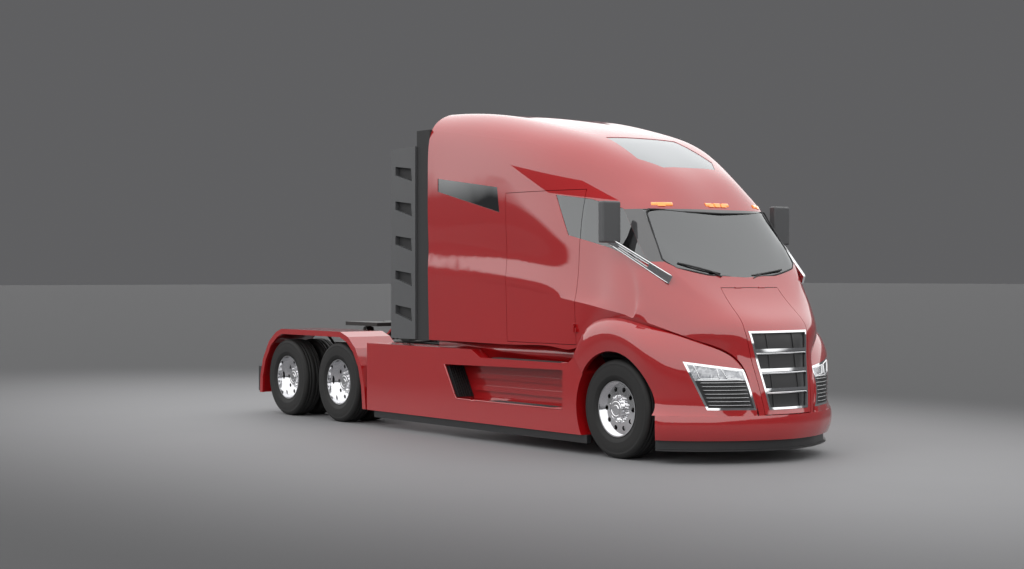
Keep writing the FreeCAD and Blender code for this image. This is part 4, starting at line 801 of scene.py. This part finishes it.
def marker_lens_caps():
    """Each cap follows the roof's skin across and leans as it does: lean = change of x over change of z."""
    skin = skin_fit("cab_roof", roof_edge)
    low, high = LEAN_HEIGHTS
    caps = []
    for start, end in MARKER_SPANS:
        y = np.linspace(start, end, 9)
        lean = (skin(y, high + 0 * y) - skin(y, low + 0 * y)) / (high - low)
        up = np.stack([lean, 0 * y, np.ones_like(y)], -1)
        caps.append(sweep(on_skin(skin, y, MARKER_Z, MARKER_PROUD), MARKER_SECTION, up))
    piece("marker_lens_caps", caps, "amber_lens", "chassis")


# Windscreen: a rubber gasket round the glass and two parked wipers, in (y, z)
GASKET = [(0, 1.912), (0.480, 1.935), (0.860, 2.010), (0.965, 2.090), (0.885, 2.640), (0.780, 2.640),
          (0.450, 2.612), (0, 2.603)]
GASKET_STEP = 0.05
GASKET_PROUD = 0.002
GASKET_RADIUS = 0.009
WIPERS = (((-0.83, 2.064), (-0.34, 1.950)), ((0.62, 1.996), (0.12, 1.932)))
WIPER_STEPS = 13
WIPER_LIFT = 0.012
WIPER_SECTION = (0.012, 0.018)
WIPER_ARM_LIFT = 0.022
WIPER_ARM_RADIUS = 0.007
WIPER_ARM_SHARE = 0.25
WIPER_PIVOT_DROP = 0.028


def windscreen_gasket(skin):
    """A closed round bead: the left half's outline and its mirror image."""
    half = on_skin(skin, *evenly(GASKET, GASKET_STEP), GASKET_PROUD)
    ring = np.concatenate([half, half[-2:0:-1] * (1, -1, 1)])
    gasket = sweep(ring, round_profile(GASKET_RADIUS), (1, 0, 0.3), True)
    piece("windscreen_gasket", [gasket], "rubber_seal", "chassis")


def wipers(skin):
    """A straight blade from tip to foot, and an arm from below the foot to a quarter of the blade."""
    shapes = []
    for tip, foot in WIPERS:
        blade = on_skin(skin, *straight(tip, foot, WIPER_STEPS), WIPER_LIFT)
        shapes.append(sweep(blade, flat_profile(*WIPER_SECTION)))
        pivot = (foot[0], foot[1] - WIPER_PIVOT_DROP)
        held = (foot[0] + WIPER_ARM_SHARE * (tip[0] - foot[0]),
                foot[1] + WIPER_ARM_SHARE * (tip[1] - foot[1]))
        arm = on_skin(skin, *straight(pivot, held, WIPER_STEPS), WIPER_ARM_LIFT)
        shapes.append(sweep(arm, round_profile(WIPER_ARM_RADIUS)))
    piece("wipers", shapes, "black_trim", "chassis")


# Mirrors: polished beads along the slotted arms' outer faces, and glass on the heads' rear faces
MIRROR_ARM_FOOT = np.array((AXLE_X + 0.590, 0.975, 1.885))
MIRROR_ARM_TIP = np.array((AXLE_X - 0.052, 1.262, 2.300))
MIRROR_ARM_FACE = 0.022
EDGE_SPAN, SLOT_SPAN = (0.02, 0.97), (0.36, 0.86)
MIRROR_BEADS = ((EDGE_SPAN, 0.043, 0.029, 0.007), (EDGE_SPAN, -0.043, -0.029, 0.005),
                (SLOT_SPAN, 0.016, 0.011, 0.004), (SLOT_SPAN, -0.016, -0.011, 0.004))
MIRROR_GLASS_X = (-0.0015, 0.002)
MIRROR_GLASS_MARGIN = 0.025
MIRROR_GLASS_WIDTH = 0.194
MIRROR_GLASS_HEIGHTS = ((0.18, 0.41), (0.03, 0.16))


def arm_bead(span, low, high, radius):
    """A round bead on the arm's outer face, over a span given as two shares of the arm's length.

    Point = foot + along * share * length + rise * height + out * the outer face's distance from the
    middle line. The height goes evenly from low to high.
    """
    length = np.linalg.norm(MIRROR_ARM_TIP - MIRROR_ARM_FOOT)
    along = (MIRROR_ARM_TIP - MIRROR_ARM_FOOT) / length
    rise = np.array((0, 0, 1.0)) - along * along[2]
    rise /= np.linalg.norm(rise)
    out = np.cross(along, rise)
    start, end = span
    t = np.linspace(start, end, 13)[:, None]
    height = low + (high - low) * (t - start) / (end - start)
    path = MIRROR_ARM_FOOT + along * t * length + rise * height + out * MIRROR_ARM_FACE
    return sweep(path, round_profile(radius), rise)


def mirror_beads():
    """Beads along the arm's upper and lower edges and along both edges of its slot."""
    piece("mirror_beads", both_sides([arm_bead(*bead) for bead in MIRROR_BEADS]), "chrome", "chassis")


def mirror_glass():
    """A tall pane over a low one, each a thin block across the head's rear face."""
    x = (MIRROR_LOW.x + MIRROR_GLASS_X[0], MIRROR_LOW.x + MIRROR_GLASS_X[1])
    outer = MIRROR_HIGH.y - MIRROR_GLASS_MARGIN
    panes = [block(x, (outer - MIRROR_GLASS_WIDTH, outer), (MIRROR_LOW.z + low, MIRROR_LOW.z + high))
             for low, high in MIRROR_GLASS_HEIGHTS]
    piece("mirror_glass", both_sides(panes), "chrome", "chassis", smooth=False)


# Sill: the red panel between the cab and the step ledge, the recess's rolled edge and the tread ends
SILL = [(AXLE_X - 3.420, 1.066), (AXLE_X - 2.569, 1.066), (AXLE_X - 2.380, 0.974),
        (AXLE_X - 0.700, 0.974), (AXLE_X - 0.700, 1.149), (AXLE_X - 3.420, 1.149)]
SILL_SIDES = (1.120, 1.135)
RECESS_EDGE = [(AXLE_X - 3.120, 0.870), (AXLE_X - 2.940, 0.570), (AXLE_X - 2.880, 0.470),
               (AXLE_X - 2.820, 0.470), (AXLE_X - 2.280, 0.470), (AXLE_X - 0.870, 0.470)]
RECESS_INSET = 0.004
RECESS_RADIUS = 0.009
LEDGE_INNER, STEP_INNER = 1.150, 1.070
LEDGE_END = ((AXLE_X - 0.900, AXLE_X - 0.800), (LEDGE_INNER, STEP_HIGH.y), (0.974, 0.983))
STEP_END = ((AXLE_X - 1.070, AXLE_X - 0.870), (STEP_INNER, STEP_HIGH.y), (0.469, 0.479))


def sill_panels():
    """A flat panel, the painted ends of both treads, and a round bead along the recess's edge."""
    edge = [(x, SIDE_FACE - RECESS_INSET, z) for x, z in RECESS_EDGE]
    bead = sweep(bent(edge), round_profile(RECESS_RADIUS), (0, 1, 0))
    shapes = [prism(SILL, *SILL_SIDES), block(*LEDGE_END), block(*STEP_END), bead]
    piece("sill_panels", both_sides(shapes), "red_paint", "chassis", smooth=False)


# Treads: raised ribs along the step's tread and the ledge's, each (rear x, front x, inner y, top z)
STEP_TREAD = (STEP_LOW.x, AXLE_X - 1.070, STEP_INNER, STEP_LOW.z + 0.006)
LEDGE_TREAD = (AXLE_X - 2.190, STEP_HIGH.x, LEDGE_INNER, STEP_HIGH.z)
RIB_END_GAP = 0.020
RIB_SIDE_GAPS = (0.012, 0.005)
RIB_PITCH = 0.018
RIB_WIDTH = 0.007
RIB_HEIGHTS = (-0.001, 0.003)


def tread_ribs():
    """Long low blocks side by side, evenly spaced across each tread."""
    ribs = []
    for rear, front, inner, top in (STEP_TREAD, LEDGE_TREAD):
        x = (rear + RIB_END_GAP, front - RIB_END_GAP)
        z = (top + RIB_HEIGHTS[0], top + RIB_HEIGHTS[1])
        for y in np.arange(inner + RIB_SIDE_GAPS[0], STEP_HIGH.y - RIB_SIDE_GAPS[1], RIB_PITCH):
            ribs.append(block(x, (y, y + RIB_WIDTH), z))
    piece("tread_ribs", both_sides(ribs), "black_trim", "chassis", smooth=False)


# Cushions
SQUARENESS = 0.30
CORNER_SQUARENESS = 0.26
CROWN = 0.22
PULL = 0.035
CHANNEL_DEPTH = 0.07
CHANNEL_WIDTH = 0.035
CUSHION_ROWS = 48
CUSHION_COLS = 144
CROWN_X, CROWN_Z = 0, 2
SEAT_CHANNELS = (-0.45, 0.45)
BUNK_CHANNELS = (-0.5, 0.0, 0.5)

# Each piece of a seat: its name, rear and front x, half width, heights above the base, crown, channels
SEAT_Y = 0.56
SEAT_BASE = 1.620
SEAT_PIECES = (
    ("seat_cushion_", (AXLE_X - 0.900, AXLE_X - 0.380), 0.25, (0.0, 0.140), CROWN_Z, SEAT_CHANNELS),
    ("seat_back_", (AXLE_X - 1.030, AXLE_X - 0.901), 0.24, (0.0, 0.560), CROWN_X, SEAT_CHANNELS),
    ("seat_headrest_", (AXLE_X - 1.020, AXLE_X - 0.910), 0.14, (0.565, 0.755), CROWN_X, ()),
)
BUNK_X = (AXLE_X - 3.418, AXLE_X - 2.712)
BUNK_HALF_WIDTH = 1.098
BUNK_Z = (BUNK_BOARD + 0.001, BUNK_BOARD + 0.148)


def signed_power(value, power):
    """A power of a value's size, with the value's sign kept."""
    return np.sign(value) * np.abs(value) ** power


def cushion(name, x, y, z, crown_axis, channels):
    """A stuffed block: a rounded box whose face crowns, whose sides pull in and whose channels are sewn.

    Point = centre + half size * signed powers of the sines and cosines of two angles. The crowned
    face then falls away with the square of the distance from the middle, and each channel sinks it
    by a narrow bell curve.
    """
    low, high = np.array([x, y, z], float).T
    rows, cols = CUSHION_ROWS, CUSHION_COLS
    lift = np.radians(np.linspace(-86, 86, rows))[:, None]
    turn = np.linspace(-math.pi, math.pi, cols, endpoint=False)[None]
    a = signed_power(np.cos(lift), SQUARENESS) * signed_power(np.cos(turn), CORNER_SQUARENESS)
    b = signed_power(np.cos(lift), SQUARENESS) * signed_power(np.sin(turn), CORNER_SQUARENESS)
    c = signed_power(np.sin(lift), SQUARENESS) * np.ones_like(turn)
    fall = CROWN * (a ** 2 + b ** 2) * (c > 0)
    c = c * (1 - 0.5 * fall)
    a, b = a * (1 - PULL * (1 - b ** 2)), b * (1 - PULL * (1 - a ** 2))
    for middle in channels:
        c = c - CHANNEL_DEPTH * np.exp(-((b - middle) / CHANNEL_WIDTH) ** 2) * (c > 0.3)
    order = [[1, 2, 0], [2, 0, 1], [0, 1, 2]][crown_axis]
    grid = np.stack([a, b, c], -1)[..., np.argsort(order)]
    verts = (low + high) / 2 + grid * (high - low) / 2
    caps = [np.arange(cols), np.arange((rows - 1) * cols, rows * cols)]
    shape = (verts.reshape(-1, 3), grid_quads(rows, cols, False, True), caps)
    obj = piece(name, [shape], "seat_cloth", "chassis")
    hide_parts("seats")


def seat_cushions(side, y):
    """The cushion, the back and the headrest of one seat, round its middle's y."""
    for name, x, half, (low, high), crown_axis, channels in SEAT_PIECES:
        cushion(name + side, x, (y - half, y + half), (SEAT_BASE + low, SEAT_BASE + high), crown_axis,
                channels)


def bunk_mattress():
    """The mattress, from just above the bunk's board."""
    cushion("bunk_mattress", BUNK_X, (-BUNK_HALF_WIDTH, BUNK_HALF_WIDTH), BUNK_Z, CROWN_Z, BUNK_CHANNELS)


# Studio: a pale floor, one soft lamp, and a bright dome above a calm grey band
FLOOR_REACH = 300
FLOOR_NEAR = (0.24, 0.24, 0.246, 1)
FLOOR_NEAR_SECOND = (0.21, 0.21, 0.216, 1)
# The far floor's painted shade, and the distances over which it comes in
FLOOR_FAR_SHADE = (0.055, 0.055, 0.057, 1)
FLOOR_SHADE_FADE = {"From Min": 2.0, "From Max": 9.0}
BAND_GREY = (0.115, 0.115, 0.119, 1)
DOME_LIGHT = (1.5, 1.5, 1.5, 1)
DOME_EDGE = {"From Min": 0.165, "From Max": 0.185}
DOME_DROP = {"From Min": -0.05, "From Max": -0.45, "To Max": 0.115}


def floor_material():
    """A plain pale floor round the truck, darkened with the distance by painted shade, so the horizon stays faint.

    The distance is the length of (half x, y).
    """
    mat, tree, shader = base_material("floor_paint")
    oval = put(tree, "ShaderNodeVectorMath", {1: (0.5, 1, 0)}, operation="MULTIPLY")
    reach = put(tree, "ShaderNodeVectorMath", operation="LENGTH")
    fade = put(tree, "ShaderNodeMapRange", FLOOR_SHADE_FADE, interpolation_type="SMOOTHSTEP")
    tree.links.new(object_place(tree), oval.inputs[0])
    tree.links.new(oval.outputs["Vector"], reach.inputs[0])
    tree.links.new(reach.outputs["Value"], fade.inputs["Value"])
    near = group_node(tree, TINT, Colour=FLOOR_NEAR, Second=FLOOR_NEAR_SECOND, Scale=0.5, Amount=0.6)
    # Painted shade: the floor's colour goes over to the dark far shade with the distance.
    colour = colour_mix(tree, fade.outputs["Result"], near.outputs["Colour"], FLOOR_FAR_SHADE)
    tree.links.new(colour, shader.inputs["Base Color"])
    fill(shader, {"Roughness": 0.7, "Specular IOR Level": 0.1})
    return mat


def studio_floor():
    """A wide flat square at the ground."""
    far = FLOOR_REACH
    mesh = bpy.data.meshes.new("floor")
    mesh.from_pydata([(-far, -far, 0), (far, -far, 0), (far, far, 0), (-far, far, 0)], [], [(0, 1, 2, 3)])
    mesh.materials.append(floor_material())
    floor = bpy.data.objects.new("floor", mesh)
    bpy.context.scene.collection.objects.link(floor)


def softbox(name, place, aim, size, power):
    """A rectangular lamp aimed at a point. It lights the truck but isn't seen in its reflections."""
    data = bpy.data.lights.new(name, "AREA")
    data.shape = "RECTANGLE"
    data.size, data.size_y = size
    data.energy = power
    lamp = bpy.data.objects.new(name, data)
    bpy.context.scene.collection.objects.link(lamp)
    lamp.location = place
    lamp.visible_glossy = False
    lamp.rotation_euler = Vector(np.subtract(aim, place)).to_track_quat("-Z", "Y").to_euler()


def studio_air():
    """A dome of even light over a calm grey band, whose edge comes lower on the camera's side."""
    world = bpy.data.worlds.new("studio_air")
    bpy.context.scene.world = world
    world.use_nodes = True
    tree = world.node_tree
    split = put(tree, "ShaderNodeSeparateXYZ")
    drop = put(tree, "ShaderNodeMapRange", DOME_DROP, interpolation_type="SMOOTHSTEP")
    edge = put(tree, "ShaderNodeMapRange", DOME_EDGE)
    tree.links.new(put(tree, "ShaderNodeTexCoord").outputs["Generated"], split.inputs["Vector"])
    tree.links.new(split.outputs["Y"], drop.inputs["Value"])
    height = math_node(tree, "ADD", split.outputs["Z"], drop.outputs["Result"])
    tree.links.new(height, edge.inputs["Value"])
    colour = colour_mix(tree, edge.outputs["Result"], BAND_GREY, DOME_LIGHT)
    tree.links.new(colour, tree.nodes["Background"].inputs["Color"])


# Camera, fitted to the photograph
CAMERA_PLACE = (AXLE_X + 13.678, -12.870, 1.938)
CAMERA_HEADING = 143.092
CAMERA_TILT = -0.317
CAMERA_LENS = 59.77
CAMERA_SENSOR = 36.0


def photo_camera():
    """Looks along the heading, in degrees from forward towards the left, tilted up by the tilt."""
    data = bpy.data.cameras.new("camera")
    data.sensor_width = CAMERA_SENSOR
    data.lens = CAMERA_LENS
    data.dof.use_dof = False
    camera = bpy.data.objects.new("camera", data)
    bpy.context.scene.collection.objects.link(camera)
    camera.location = CAMERA_PLACE
    camera.rotation_euler = (math.radians(90 + CAMERA_TILT), 0, math.radians(CAMERA_HEADING - 90))
    bpy.context.scene.camera = camera


dress_nodes()
wheels()
grille_skin = skin_fit("grille_frame")
grille_bands(grille_skin)
grille_mesh(grille_skin)
lamp_blades()
lamp_edges()
marker_lens_caps()
glass_skin = skin_fit("windscreen")
windscreen_gasket(glass_skin)
wipers(glass_skin)
mirror_beads()
mirror_glass()
sill_panels()
tread_ribs()
seat_cushions("left", SEAT_Y)
seat_cushions("right", -SEAT_Y)
bunk_mattress()
studio_floor()
softbox("key_box", place=(6, -16, 14), aim=(0, 0, 1), size=(10, 6), power=500)
studio_air()
photo_camera()
bpy.context.scene.view_settings.view_transform = "Standard"
